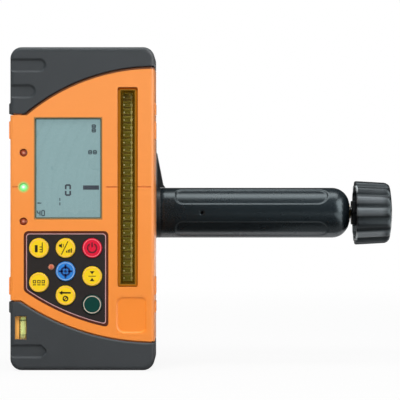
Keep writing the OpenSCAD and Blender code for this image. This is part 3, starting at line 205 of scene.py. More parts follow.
class Graph:
    """Node tree that is filled one node at a time."""

    def __init__(self, tree):
        self.tree = tree

    @staticmethod
    def pick(sockets, key):
        if isinstance(key, int):
            return sockets[key]
        return next(s for s in sockets if key in (s.identifier, s.name))

    def put(self, socket, value):
        if isinstance(value, Term):
            self.tree.links.new(value.socket, socket)
        else:
            socket.default_value = value

    def node(self, kind, settings=None, values=None, output=0):
        """One node: its settings, then the values or links of its sockets; gives one output."""
        made = self.tree.nodes.new(kind)
        for key, value in (settings or {}).items():
            setattr(made, key, value)
        for key, value in (values or {}).items():
            self.put(self.pick(made.inputs, key), value)
        return Term(self, self.pick(made.outputs, output))

    def ray(self, kind):
        return self.node("ShaderNodeLightPath", output=kind)

    def blend(self, factor, first, second):
        """Shader that changes from the first to the second."""
        return self.node("ShaderNodeMixShader", None, {0: factor, 1: first, 2: second})

    def show(self, shader, output):
        self.put(self.tree.nodes[output].inputs["Surface"], shader)


class Paint(Graph):
    """One material under construction on a Principled shader."""

    def __init__(self, name, colour, roughness, **settings):
        self.material = bpy.data.materials.new(name)
        self.material.use_nodes = True
        super().__init__(self.material.node_tree)
        self.shader = self.tree.nodes["Principled BSDF"]
        self.feed("Base Color", (*colour, 1.0))
        self.feed("Roughness", roughness)
        for key, value in settings.items():
            self.feed(key.replace("_", " ").title().replace("Ior", "IOR"), value)
        self.place = self.node("ShaderNodeTexCoord", output="Object")
        self.x, self.y, self.z = (
            self.node("ShaderNodeSeparateXYZ", None, {0: self.place}, axis) for axis in "XYZ")

    def feed(self, key, value):
        self.put(self.pick(self.shader.inputs, key), value)

    def noise(self, scale, detail=3.0, stretch=None):
        place = self.place
        if stretch:
            place = self.node("ShaderNodeVectorMath", {"operation": "MULTIPLY"}, {0: place, 1: stretch})
        values = {"Vector": place, "Scale": scale, "Detail": detail}
        return self.node("ShaderNodeTexNoise", None, values)

    def wipes(self):
        """Marks that wiping leaves on a clear piece."""
        return self.noise(260.0, 4.0, (1.0, 1.0, 0.25))

    def cells(self, scale, feature="F1"):
        return self.node(
            "ShaderNodeTexVoronoi", {"feature": feature}, {"Vector": self.place, "Scale": scale},
            "Distance")

    def mix(self, factor, first, second):
        first, second = (
            (*c, 1.0) if isinstance(c, tuple) and len(c) == 3 else c for c in (first, second))
        return self.node(
            "ShaderNodeMix", {"data_type": "RGBA"},
            {"Factor_Float": factor, "A_Color": first, "B_Color": second}, "Result_Color")

    def fleck(self, dark, light, scale, detail=3.0):
        """Base colour that wanders between two tones."""
        self.feed("Base Color", self.mix(self.noise(scale, detail), dark, light))

    def tint(self, factor, red, green, blue):
        """Mix the present base colour towards a screen colour."""
        present = Term(self, self.pick(self.shader.inputs, "Base Color").links[0].from_socket)
        self.feed("Base Color", self.mix(factor, present, screen(red, green, blue)))

    def glow(self, tone, strength):
        self.feed("Emission Color", tone)
        self.feed("Emission Strength", strength)

    def bump(self, height, depth, strength, edge=0.0):
        """Relief of a height, over edges that catch the light as if rounded by the edge radius."""
        values = {"Height": height, "Distance": depth * MM, "Strength": strength}
        if edge:
            values["Normal"] = self.node("ShaderNodeBevel", {"samples": 8}, {"Radius": edge * MM})
        self.feed("Normal", self.node("ShaderNodeBump", None, values))

    def from_axis(self, x, z):
        """Distance from a line along Y, in metres."""
        across = (self.x - x * MM) ** 2.0
        up = (self.z - z * MM) ** 2.0
        return (across + up) ** 0.5

    def from_rim(self, low, high):
        """Distance from the nearest side of a box seen from the front, in metres."""
        across = (high.x - low.x) / 2 - (self.x - (low.x + high.x) / 2).size()
        up = (high.z - low.z) / 2 - (self.z - (low.z + high.z) / 2).size()
        return across.run("MINIMUM", up)


def moulded(
    name, colour, roughness, grain=0.35, depth=0.02, mottle=0.05, scuff=0.06, edge=0.0, patchy=1.0,
    **settings
):
    """Moulded plastic or rubber: spark grain, slight clouds, faint handling marks."""
    paint = Paint(name, colour, roughness, **settings)
    clouds = paint.noise(55.0, 4.0)
    sparks = paint.noise(1.0 / (grain * MM), 2.0)
    rubs = paint.noise(420.0, 5.0, (0.35, 1.0, 1.6)).rise(0.6, 0.78)
    tone = paint.mix(clouds, toned(colour, 1 - mottle), toned(colour, 1 + mottle))
    tone = paint.mix(rubs * scuff, tone, toned(colour, 1.5))
    paint.feed("Base Color", paint.mix(sparks.rise(0.35, 0.7) * 0.1, tone, toned(colour, 0.8)))
    dull = (clouds - 0.5) * 0.16 + (sparks - 0.5) * 0.1 - rubs * 0.08
    paint.feed("Roughness", roughness + dull * patchy)
    paint.bump(sparks + rubs * 0.3, depth, 0.6, edge)
    return paint


def printed(name, colour, roughness=0.45, depth=0.003):
    """Print on film or keys: fine grain with hardly any relief."""
    return moulded(name, colour, roughness, grain=0.2, depth=depth)


def metal(name, colour, roughness, lines=(1.0, 1.0, 1.0)):
    """Machined metal: fine turning lines and dulled patches."""
    paint = Paint(name, colour, roughness, metallic=1.0)
    lay = paint.noise(1500.0, 3.0, lines)
    dull = paint.noise(130.0, 4.0)
    paint.feed("Base Color", paint.mix(dull.rise(0.35, 0.75), colour, toned(colour, 0.72)))
    paint.feed("Roughness", roughness + (lay - 0.5) * 0.18 + dull.rise(0.45, 0.8) * 0.14)
    paint.bump(lay, 0.012, 0.5)
    return paint


def clear(name, colour, alpha, roughness):
    """Clear moulding: see-through with faint wiping marks in its gloss."""
    paint = Paint(name, colour, roughness, specular_ior_level=0.2)
    wipes = paint.wipes()
    paint.feed("Alpha", alpha + (wipes - 0.5) * 0.05)
    paint.feed("Roughness", roughness + wipes.rise(0.45, 0.8) * 0.1)
    paint.bump(paint.noise(90.0, 2.0), 0.01, 0.2)
    return paint


def coat(node, paint):
    """Surface of a CAD node as it stands."""
    mesh = frame["nodes"][node].data
    mesh.materials.clear()
    mesh.materials.append(paint.material)


def cap(node, paint):
    """Copy of a key whose crown lies lower by the depth of its print, which stands for the key."""
    mesh = frame["nodes"][node].data.copy()
    front = min(v.co.y for v in mesh.vertices)
    for v in mesh.vertices:
        if v.co.y < front + PRINT_SINK * MM:
            v.co.y = front + PRINT_SINK * MM
    stand_for(show("visual_" + node, mesh, paint), node)


def dress(node, paint, edge):
    """Copy of a CAD node with welded, rounded edges, which stands for the node."""
    mesh = bpy.data.meshes.new(node)
    shape = bmesh.new()
    shape.from_mesh(frame["nodes"][node].data)
    bmesh.ops.remove_doubles(shape, verts=shape.verts, dist=0.0005 * MM)
    bmesh.ops.dissolve_limit(shape, angle_limit=radians(0.4), verts=shape.verts, edges=shape.edges)
    for face in shape.faces:
        face.smooth = True
    shape.to_mesh(mesh)
    shape.free()
    for layer in ("custom_normal", "sharp_edge", "sharp_face"):
        if layer in mesh.attributes:
            mesh.attributes.remove(mesh.attributes[layer])
    piece = show("visual_" + node, mesh, paint)
    rounding = piece.modifiers.new("rounded edges", "BEVEL")
    rounding.width = edge * MM
    rounding.segments = 2
    rounding.limit_method = "ANGLE"
    rounding.angle_limit = radians(32)
    rounding.use_clamp_overlap = False
    piece.modifiers.new("even shading", "WEIGHTED_NORMAL").keep_sharp = True
    stand_for(piece, node)


def show(name, mesh, paint):
    piece = bpy.data.objects.new(name, mesh)
    bpy.context.scene.collection.objects.link(piece)
    mesh.materials.clear()
    mesh.materials.append(paint.material)
    return piece


def skin(name, points, faces, smooth):
    """Mesh whose faces look outwards."""
    mesh = bpy.data.meshes.new(name)
    mesh.from_pydata(points, [], faces)
    shape = bmesh.new()
    shape.from_mesh(mesh)
    bmesh.ops.recalc_face_normals(shape, faces=shape.faces)
    for face in shape.faces:
        face.smooth = smooth
    shape.to_mesh(mesh)
    shape.free()
    return mesh


def about_x(x, axis, angles, radius):
    """Ring of points about a line along X; the angles count from the top towards the front."""
    return [
        (x * MM, (axis.y - radius(t) * sin(t)) * MM, (axis.z + radius(t) * cos(t)) * MM)
        for t in angles
    ]


def full_turn(steps):
    return [2 * pi * k / steps for k in range(steps)]


def loft(name, paint, rings, wrap=False):
    """Skin over rings of as many points each, with flat ends or back round to the first ring."""
    count = len(rings[0])
    points = [p for ring in rings for p in ring]
    faces = []
    for r in range(len(rings) if wrap else len(rings) - 1):
        for k in range(count):
            n = (k + 1) % count
            after = (r + 1) % len(rings)
            faces.append((r * count + k, r * count + n, after * count + n, after * count + k))
    if not wrap:
        faces.append(tuple(range(count)))
        faces.append(tuple(range(len(points) - count, len(points))))
    mesh = skin(name, points, faces, True)
    mesh.set_sharp_from_angle(angle=radians(50))
    return show(name, mesh, paint)


def stand_for(piece, node):
    """Piece that moves with a CAD node and hides it."""
    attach(piece, BODY_OF[node])
    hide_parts(node)


class Marks:
    """Flat shapes drawn in X and Z, in millimetres seen from the front: prints, and painted highlights and
    shadows.
    """

    def __init__(self, x=0.0, z=0.0):
        self.x, self.z = x, z
        self.shapes = []

    def shape(self, points):
        self.shapes.append([(self.x + x, self.z + z) for x, z in points])

    def box(self, x0, z0, x1, z1):
        self.shape([(x0, z0), (x1, z0), (x1, z1), (x0, z1)])

    def bar(self, x0, z0, x1, z1, width):
        run = hypot(x1 - x0, z1 - z0)
        sx, sz = (z0 - z1) / run * width / 2, (x1 - x0) / run * width / 2
        self.shape([
            (x0 - sx, z0 - sz), (x1 - sx, z1 - sz), (x1 + sx, z1 + sz), (x0 + sx, z0 + sz)])

    def disc(self, x, z, r, steps=28):
        self.shape([(x + r * cos(t), z + r * sin(t)) for t in full_turn(steps)])

    def ring(self, x, z, inner, outer, start=0, end=360, steps=44):
        turns = [radians(start + (end - start) * k / steps) for k in range(steps + 1)]
        for a, b in zip(turns, turns[1:]):
            corners = ((outer, a), (outer, b), (inner, b), (inner, a))
            self.shape([(x + r * cos(t), z + r * sin(t)) for r, t in corners])

    def strip(self, outer, inner):
        """Closed band between two outlines with the same number of points."""
        count = len(outer)
        for k in range(count):
            n = (k + 1) % count
            self.shape([outer[k], outer[n], inner[n], inner[k]])

    def digit(self, x0, z0, x1, z1, lit, width, gap=0.0):
        """Seven-segment digit: lit names its driven segments from a to g."""
        mid = (z0 + z1) / 2
        for name, ends in {
            "a": (x0, z1, x1, z1), "d": (x0, z0, x1, z0),
            "g": (x0, mid, x1, mid), "b": (x1, mid + gap, x1, z1), "c": (x1, z0, x1, mid - gap),
            "e": (x0, z0, x0, mid - gap), "f": (x0, mid + gap, x0, z1),
        }.items():
            if name in lit:
                self.bar(*ends, width)

    def build(self, name, body, paint, y, back=0.0):
        """Thin plates that stand on depth y, with their backs sunk below it."""
        points, faces = [], []
        for outline in self.shapes:
            start, count = len(points), len(outline)
            for depth in (y - PRINT_T, y + back):
                points += [(x * MM, depth * MM, z * MM) for x, z in outline]
            faces.append(tuple(range(start, start + count)))
            for k in range(count):
                n = (k + 1) % count
                faces.append((start + k, start + count + k, start + count + n, start + n))
        piece = show(name, skin(name, points, faces, False), paint)
        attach(piece, body)


def middle(node):
    low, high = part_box(node)
    return (low + high) / 2 / MM


def glass_opening(looks):
    """Corners of the opening over the display's panel, in metres."""
    centre, reach = middle("lcd_panel") * MM, Vector((looks.wide / 2, 0.0, looks.high / 2))
    return centre - reach, centre + reach


def rounded_outline(corners, steps=8):
    """Outline with its corners eased by a curve: each corner is x, z and its radius."""
    points = []
    for k, (x, z, r) in enumerate(corners):
        if not r:
            points.append((x, z))
            continue
        corner = Vector((x, z))
        start, end = (
            corner + (Vector(other[:2]) - corner).normalized() * r
            for other in (corners[k - 1], corners[(k + 1) % len(corners)]))
        for t in (s / steps for s in range(steps + 1)):
            points.append(tuple(start.lerp(corner, t).lerp(corner.lerp(end, t), t)))
    return points


class RECEIVER_OT_housing(bpy.types.Operator):
    """Dress the shells, the bumpers, the parting seal and the housing screws"""
    bl_idname = "receiver.housing"
    bl_label = "Housing"

    label_low, label_high = Vector((17.4, 0.0, 19.2)), Vector((34.0, 0.0, 38.7))
    # Rings of the label dish: growth past the recess, corner radius, depth behind the front face
    dish_rings = (
        (0.8, 2.4, 0.595), (0.8, 2.4, -0.025), (0.0, 4.8, -0.025), (-0.3, 4.7, 0.06),
        (-0.65, 4.4, 0.33), (-0.95, 4.2, 0.52), (-1.25, 4.0, 0.57), (-1.35, 4.0, 0.573),
    )

    def orange(self, name, looks, edge):
        """Orange plastic with painted light and shade: paler upwards as overhead light washes it, deeper
        in the label recess, with a painted shadow along the top bumper's seam.
        """
        paint = moulded(
            name, looks.shell, 0.42, grain=0.3, depth=0.012, mottle=0.03, scuff=0.05, edge=edge)
        # Painted light: the orange pales towards the top, as the overhead light washes it
        paint.tint(paint.z.rise(0.15, 0.015) * 0.9, 240, 138, 46)
        # Painted shadow: a dark brown line on the orange under the top bumper's seam
        seam_shadow = (paint.from_axis(ARC_X, TOP_ARC_Z) - TOP_ARC_R * MM).size().rise(0.0014, 0.0009)
        paint.tint(seam_shadow * paint.z.rise(0.1322, 0.1328) * 0.9, 76, 36, 14)
        label = paint.from_rim(self.label_low * MM, self.label_high * MM).rise(-0.0002, 0.0014)
        paint.tint(label * paint.y.rise(-0.0165, -0.0172) * 0.6, 246, 134, 30)
        return paint

    def label_dish(self, paint):
        """Soft lips and rounded corners laid in the shell's label recess."""
        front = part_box("front_shell")[0].y / MM
        rings = []
        for grow, corner, depth in self.dish_rings:
            x0, x1 = self.label_low.x - grow, self.label_high.x + grow
            z0, z1 = self.label_low.z - grow, self.label_high.z + grow
            places = ((x0, z0), (x1, z0), (x1, z1), (x0, z1))
            outline = rounded_outline([(x, z, corner) for x, z in places])
            rings.append([(x * MM, (front + depth) * MM, z * MM) for x, z in outline])
        dish = loft("label_dish", paint, rings)
        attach(dish, BODY_OF["front_shell"])

    def execute(self, context):
        looks = context.scene.receiver_housing
        shell = self.orange("orange_housing", looks, looks.shell_edge / MM)
        rubber = moulded(
            "grey_bumper", looks.bumper, 0.58, grain=0.42, depth=0.03, mottle=0.08, scuff=0.12,
            edge=looks.bumper_edge / MM)
        # Painted highlight: a paler line along the bottom bumper's edge at the foot seam, where it catches
        # the light
        beside_seam = rubber.from_axis(ARC_X, FOOT_ARC_Z) - (FOOT_ARC_R + 0.8) * MM
        seam_highlight = beside_seam.size().rise(0.0006, 0.0003)
        rubber.tint(seam_highlight * rubber.z.rise(0.06, 0.05) * 0.14, 150, 158, 158)
        # Painted shade: the bumpers' top and right-hand faces are darkened
        top_shade, side_shade = rubber.z.rise(0.165, 0.1666), rubber.x.rise(0.0348, 0.0364)
        rubber.tint(top_shade * 0.55, 34, 42, 45)
        rubber.tint(side_shade * 0.55, 30, 33, 36)
        # Painted light: the shell's floor beside the vial is lightened where the deep recess lies in shade
        trough_light = shell.x.rise(-0.0268, -0.0274) * shell.z.rise(0.032, 0.031)
        shell.tint(trough_light * 0.6, 255, 196, 96)
        glass = glass_opening(context.scene.receiver_display)
        # Painted shadow: a dark olive line on the shell round the display opening
        opening_shadow = shell.from_rim(*glass).rise(-0.0006, -0.0002)
        shell.tint(opening_shadow * shell.y.rise(*FRONT_FACE) * 0.7, 112, 96, 56)
        lamp = middle("grade_lamp")
        # Painted light: a green pool of the lit grade lamp's light on the shell round it
        lamp_light_pool = shell.from_axis(lamp.x, lamp.z).rise(0.0034, 0.0021)
        shell.tint(lamp_light_pool * shell.y.rise(*FRONT_FACE) * 0.75, 150, 222, 120)
        for node in ("front_shell", "rear_shell", "battery_door"):
            coat(node, shell)
        for node in ("top_bumper", "bottom_bumper"):
            coat(node, rubber)
        self.label_dish(self.orange("orange_label", looks, 0.0))
        seal = moulded("seal_rubber", screen(26, 26, 27), 0.7, grain=0.2)
        coat("housing_seal", seal)
        dress("door_seal", seal, 0.1)
        steel = metal("screw_steel", screen(168, 168, 166), 0.3, (1.0, 4.0, 1.0))
        for node in ("housing_screws", "door_hinge_pin", "door_lock", "board_screws"):
            dress(node, steel, 0.12)
        return {"FINISHED"}


class RECEIVER_OT_display(bpy.types.Operator):
    """Build the liquid crystal display with its driven segments and its window"""
    bl_idname = "receiver.display"
    bl_label = "Display"

    def execute(self, context):
        looks = context.scene.receiver_display
        low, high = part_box("lcd_panel")
        panel = Paint("lcd_glass", looks.panel, 0.3)
        sheen = panel.noise(38.0, 2.0)
        tone = panel.mix(sheen, toned(looks.panel, 0.97), toned(looks.panel, 1.03))
        rim = panel.from_rim(low, high)
        tone = panel.mix(rim.rise(0.0026, 0.0018) * 0.25, tone, screen(112, 156, 168))
        tone = panel.mix(panel.cells(900.0).rise(0.2, 0.6) * 0.05, tone, screen(70, 90, 96))
        # Painted light: the panel glows with part of its tone, so the opening's shade on it is weaker
        panel.feed("Base Color", panel.mix(looks.painted_glow, tone, (0.0, 0.0, 0.0)))
        panel.glow(tone, looks.painted_glow)
        panel.feed("Roughness", 0.28 + (sheen - 0.5) * 0.12)
        panel.bump(panel.noise(2500.0, 1.0), 0.004, 0.4)
        dress("lcd_panel", panel, 0.1)

        ink = Paint("driven_segment", looks.digits, 0.45)
        ink.fleck(toned(looks.digits, 0.85), toned(looks.digits, 1.15), 900.0, 2.0)
        ink.feed("Roughness", 0.4 + ink.noise(600.0) * 0.15)
        faint = Paint("half_driven_segment", screen(56, 74, 82), 0.45)
        faint.fleck(screen(50, 68, 76), screen(64, 82, 90), 900.0, 2.0)
        face = low.y / MM
        centre = middle("lcd_panel")
        driven = Marks(centre.x, centre.z)
        driven.digit(-1.4, -13.9, 0.95, -8.7, "abcdef", 0.9, 0.4)
        driven.box(7.6, -11.1, 15.9, -8.85)
        driven.build("reading_segments", "receiver", ink, face)
        small = Marks(centre.x, centre.z)
        for stroke in (
            (-4.45, -19.25, -4.45, -17.7, 0.6), (-4.45, -16.9, -4.45, -15.35, 0.5),
            (-16.25, -18.05, -14.05, -18.05, 0.5), (-15.35, -18.45, -15.35, -17.65, 0.6),
        ):
            small.bar(*stroke)
        small.digit(-16.15, -24.55, -14.75, -21.95, "bcfg", 0.6)
        small.digit(-13.85, -24.55, -12.45, -21.95, "abcdef", 0.6)
        for z in (18.95, 21.1):
            small.digit(12.35, z, 14.05, z + 1.5, "abcdefg", 0.6)
        for x in (10.55, 13.05):
            small.digit(x, 7.55, x + 1.5, 9.25, "abcdefg", 0.6)
        small.build("side_segments", "receiver", faint, face)

        window = clear("display_glass", screen(170, 184, 190), 0.05, 0.06)
        # Painted shadow: the window is dark olive and nearly opaque along the edges of the opening
        edge = window.from_rim(*glass_opening(looks)).rise(0.001, 0.0006)
        wipes = window.wipes()
        window.feed("Base Color", window.mix(edge, screen(170, 184, 190), screen(96, 100, 70)))
        window.feed("Alpha", 0.04 + wipes * 0.03 + edge * 0.75)
        dress("display_window", window, 0.15)
        dress("backlight_plate", moulded("white_diffuser", screen(228, 230, 226), 0.5), 0.1)
        return {"FINISHED"}


class RECEIVER_OT_sensor(bpy.types.Operator):
    """Build the sensor strip: window, baffle, board, photodiodes and their solder points"""
    bl_idname = "receiver.sensor"
    bl_label = "Sensor strip"

    # Row of photodiodes: spacing, number, and drop of their solder points
    pitch, count, drop = 3.93, 25, 0.3
    # Solder points of one photodiode: place across and up, radius
    solder_places = ((-2.05, 0.0, 0.42), (1.85, 0.2, 0.52), (1.85, -0.2, 0.52))

    def execute(self, context):
        looks = context.scene.receiver_display
        low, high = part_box("sensor_window")
        window = clear("amber_window", looks.amber, 0.16, 0.12)
        inward = window.from_rim(low, high)
        border = inward.rise(0.0012, 0.0009)
        line = inward.rise(0.0016, 0.0013)
        strip = inward.rise(0.0028, 0.0024)
        haze = window.wipes()
        top_end = window.z.rise(high.z - 0.0018, high.z - 0.0012)
        brown = window.mix(top_end, screen(164, 94, 14), screen(134, 58, 4))
        tone = window.mix(strip, tuple(looks.amber), screen(78, 54, 2))
        tone = window.mix(line, tone, screen(156, 112, 40))
        window.feed("Base Color", window.mix(border, tone, brown))
        window.feed("Alpha", 0.14 + (haze - 0.5) * 0.05 + strip * 0.55 + line * 0.2)
        dress("sensor_window", window, 0.2)
        dress("light_baffle", moulded("black_plastic", screen(92, 84, 34), 0.5, grain=0.2), 0.08)
        for node, mask, copper in (
            ("main_board", screen(24, 76, 46), screen(58, 122, 74)),
            ("sensor_board", screen(128, 122, 62), screen(150, 142, 80)),
        ):
            board = Paint("solder_mask_" + node, mask, 0.42)
            tracks = board.cells(420.0, "DISTANCE_TO_EDGE").rise(0.09, 0.05)
            board.feed("Base Color", board.mix(tracks, mask, copper))
            board.feed("Roughness", 0.4 + board.noise(300.0) * 0.15)
            board.bump(tracks, 0.03, 0.5)
            dress(node, board, 0.1)
        centre = middle("sensor_window")
        resin = moulded("photodiode_resin", looks.diode, 0.35, grain=0.5, mottle=0.15)
        chip = (resin.z - centre.z * MM).from_nearest(self.pitch * MM)
        resin.tint(chip.rise(0.0017, 0.0006), 98, 100, 26)
        dress("photodiodes", resin, 0.12)

        low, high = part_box("photodiodes")
        low, high = low / MM, high / MM
        solder = moulded("diode_solder", screen(248, 240, 176), 0.4, grain=0.2, mottle=0.1)
        points = Marks(centre.x, centre.z)
        for k in range(self.count):
            z = (k - (self.count - 1) / 2) * self.pitch - self.drop
            for x, up, r in self.solder_places:
                points.disc(x, z + up, r, 14)
        points.build("solder_points", "receiver", solder, low.y)
        rail = Paint("collector_rail", screen(196, 188, 112), 0.4)
        rail.fleck(screen(178, 170, 96), screen(214, 206, 128), 300.0)
        rail.feed("Roughness", 0.35 + rail.noise(700.0) * 0.2)
        bars = Marks(centre.x)
        bars.box(1.65, low.z, 2.05, high.z)
        bars.build("collector_rail", "receiver", rail, low.y - PRINT_T / 2)
        return {"FINISHED"}


class RECEIVER_OT_keypad(bpy.types.Operator):
    """Build the keypad film with its border, the eight keys and their printed marks"""
    bl_idname = "receiver.keypad"
    bl_label = "Keypad"

    # Print and painted shadow past the film's right side, and their distance from the foot seam
    right_over, foot_band = 0.5, 5.7
    # Steps along the curved foot, and how far the rim is sunk beside the film
    foot_steps, rim_sink = 24, 0.2
    # Outer and inner outlines: inset, corner radius, radius of the left foot corner
    border_lines = (0.9, 1.9, 1.5), (1.3, 1.6, 1.2)
    rim_lines = (-0.4, 2.8, 1.6), (0.85, 2.0, 1.5)
    # Inner and outer radius of the painted highlight ring round a key's crown
    crown_highlight_ring = (4.28, 4.62)

    def outline(self, inset, corner, foot_corner):
        """Outline of the print and painted shadow round the film: three straight sides and the curved
        foot.
        """
        low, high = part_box("keypad_overlay")
        left, top = low.x / MM + inset, high.z / MM - inset
        right = high.x / MM + self.right_over - inset
        reach = FOOT_ARC_R - self.foot_band - inset
        corners = [(left, top, corner), (right, top, corner)]
        ends = {0: corner, self.foot_steps: foot_corner}
        for k in range(self.foot_steps + 1):
            x = right + (left - right) * k / self.foot_steps
            z = FOOT_ARC_Z - sqrt(reach ** 2 - (x - ARC_X) ** 2)
            corners.append((x, z, ends.get(k, 0)))
        # Room for the two foot corners' curves
        for k in (3, self.foot_steps - 1):
            del corners[k]
        return rounded_outline(corners)

    def execute(self, context):
        looks = context.scene.receiver_keypad
        film = moulded(
            "black_overlay", looks.film, 0.38, grain=0.16, depth=0.008, mottle=0.06, scuff=0.04,
            specular_ior_level=0.3)
        dress("keypad_overlay", film, 0.1)
        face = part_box("keypad_overlay")[0].y / MM
        line = printed("border_print", looks.border, depth=0.004)
        # Painted shadow: the dark rim band is the film's maroon edge print and also a painted shadow past
        # its right and lower sides
        rim_ink_and_shadow = printed("rim_print_and_shadow", screen(84, 33, 10), depth=0.004)
        for name, paint, lines, back in (
            ("film_border", line, self.border_lines, 0.0),
            ("film_rim", rim_ink_and_shadow, self.rim_lines, self.rim_sink),
        ):
            band = Marks()
            band.strip(*(self.outline(*sizes) for sizes in lines))
            band.build(name, "receiver", paint, face, back)

        caps = {
            slot: moulded(
                slot, colour, 0.36, grain=0.25, depth=0.008, mottle=0.03, specular_ior_level=0.25)
            for slot, colour in (
                ("yellow_key", looks.yellow), ("red_key", looks.red), ("blue_key", looks.blue),
                ("green_key", looks.green))
        }
        inks = {
            "yellow_key": printed("dark_print", screen(40, 34, 14), 0.5),
            "red_key": printed("maroon_print", screen(104, 4, 30), 0.5),
            "blue_key": printed("navy_print", screen(14, 42, 104), 0.5),
            "green_key": printed("pale_print", screen(184, 172, 156), 0.5),
        }
        # Painted highlights: paler rings where the keys' rounded crowns catch the light
        rim_highlights = {
            "yellow_key": printed("amber_rim_highlight", screen(238, 172, 96)),
            "red_key": printed("pink_rim_highlight", screen(236, 112, 124)),
            "blue_key": printed("pale_rim_highlight", screen(150, 176, 206)),
        }
        for node, draw in (
            ("scale_key", self.scale_icon), ("sound_key", self.sound_icon), ("power_key", self.power_icon),
            ("auto_key", self.auto_icon), ("function_key", self.function_icon),
            ("mark_key", self.mark_icon), ("clear_key", self.clear_icon), ("light_key", self.light_icon),
        ):
            slot = SLOT_OF[node]
            cap(node, caps[slot])
            place = middle(node)
            marks = Marks(place.x, place.z)
            draw(marks)
            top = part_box(node)[0].y / MM + PRINT_SINK
            marks.build(node + "_print", node, inks[slot], top)
            if slot in rim_highlights:
                rim = Marks(place.x, place.z)
                rim.ring(0, 0, *self.crown_highlight_ring)
                rim.build(node + "_rim", node, rim_highlights[slot], top)
        dress("key_switches", metal("contact_metal", screen(196, 194, 186), 0.35), 0.15)
        return {"FINISHED"}

    def scale_icon(self, m):
        m.box(-2.1, -2.2, -0.65, 1.5)
        m.bar(1.75, -2.3, 1.75, 2.9, 0.45)
        for z in (-2.05, -0.75, 0.55):
            m.bar(0.4, z, 1.75, z, 0.42)

    def sound_icon(self, m):
        m.box(-3.4, 0.65, -2.7, 1.85)
        m.shape([(-2.7, 0.65), (-1.85, 0.05), (-1.85, 2.45), (-2.7, 1.85)])
        m.ring(-2.2, 1.25, 0.95, 1.3, -50, 50, 8)
        m.bar(-2.1, -3.4, 1.25, 3.4, 0.45)
        for k, top in enumerate((-1.3, -0.9, -0.5, -0.1)):
            m.box(0.3 + 0.85 * k, -2.4, 0.88 + 0.85 * k, top)

    def power_icon(self, m):
        m.ring(0, 0, 1.95, 2.7, 118, 422)
        m.bar(0, 0.3, 0, 2.9, 0.75)

    def auto_icon(self, m):
        m.ring(0, 0, 1.6, 2.6)
        for x, z in ((1, 0), (-1, 0), (0, 1), (0, -1)):
            m.bar(1.1 * x, 1.1 * z, 3.6 * x, 3.6 * z, 1.0)
        m.disc(0, 0, 0.75)

    def function_icon(self, m):
        for x in (-2.3, 0.0, 2.3):
            m.ring(x, 0.35, 0.6, 1.2, 45, 405, 4)
            m.bar(x - 0.85, -1.3, x + 0.85, -1.3, 0.5)

    def mark_icon(self, m):
        m.shape([(-1.25, 2.6), (0, 0.95), (1.25, 2.6)])
        m.shape([(-1.25, -2.6), (1.25, -2.6), (0, -0.95)])
        m.bar(-1.9, 0, 1.9, 0, 0.36)

    def clear_icon(self, m):
        m.bar(-2.4, 1.35, 2.7, 1.35, 0.85)
        m.shape([(-3.4, 1.35), (-1.6, 0.15), (-1.6, 2.55)])
        m.ring(0, -1.65, 0.85, 1.5, 0, 360, 24)
        m.bar(-0.9, -2.55, 0.9, -0.75, 0.45)

    def light_icon(self, m):
        m.ring(0, 0, 4.12, 4.6)


class RECEIVER_OT_lamps(bpy.types.Operator):
    """Build the three grade lamps and the key lamp"""
    bl_idname = "receiver.lamps"
    bl_label = "Lamps"

    # Radius of the grade lamps' lenses and of the key lamp's
    grade_r, key_r = 1.95, 1.55

    def lens(self, node, tones, radius, glow=0.0):
        """Lens whose tone changes from its rim through a ring to its core."""
        dark, ring, core = tones
        place = middle(node)
        paint = Paint("lens_" + node, dark, 0.2, coat_weight=0.6, coat_roughness=0.08)
        out = paint.from_axis(place.x, place.z) / (radius * MM)
        haze = paint.noise(700.0, 2.0)
        tone = paint.mix(out.rise(0.95, 0.5), dark, ring)
        tone = paint.mix(out.rise(0.5, 0.08), tone, core)
        paint.feed("Base Color", paint.mix(haze * 0.08, tone, dark))
        paint.feed("Roughness", 0.16 + haze * 0.12)
        paint.bump(haze, 0.01, 0.3)
        if glow:
            paint.glow(tone, glow)
        coat(node, paint)

    def execute(self, context):
        looks = context.scene.receiver_keypad
        red = screen(116, 42, 16), screen(152, 66, 36), screen(214, 144, 120)
        green = screen(112, 208, 118), screen(146, 232, 152), screen(226, 255, 226)
        pink = screen(226, 160, 132), screen(206, 110, 82), screen(180, 76, 52)
        for node in ("high_lamp", "low_lamp"):
            self.lens(node, red, self.grade_r)
        self.lens("grade_lamp", green, self.grade_r, looks.lit)
        self.lens("key_lamp", pink, self.key_r)
        return {"FINISHED"}


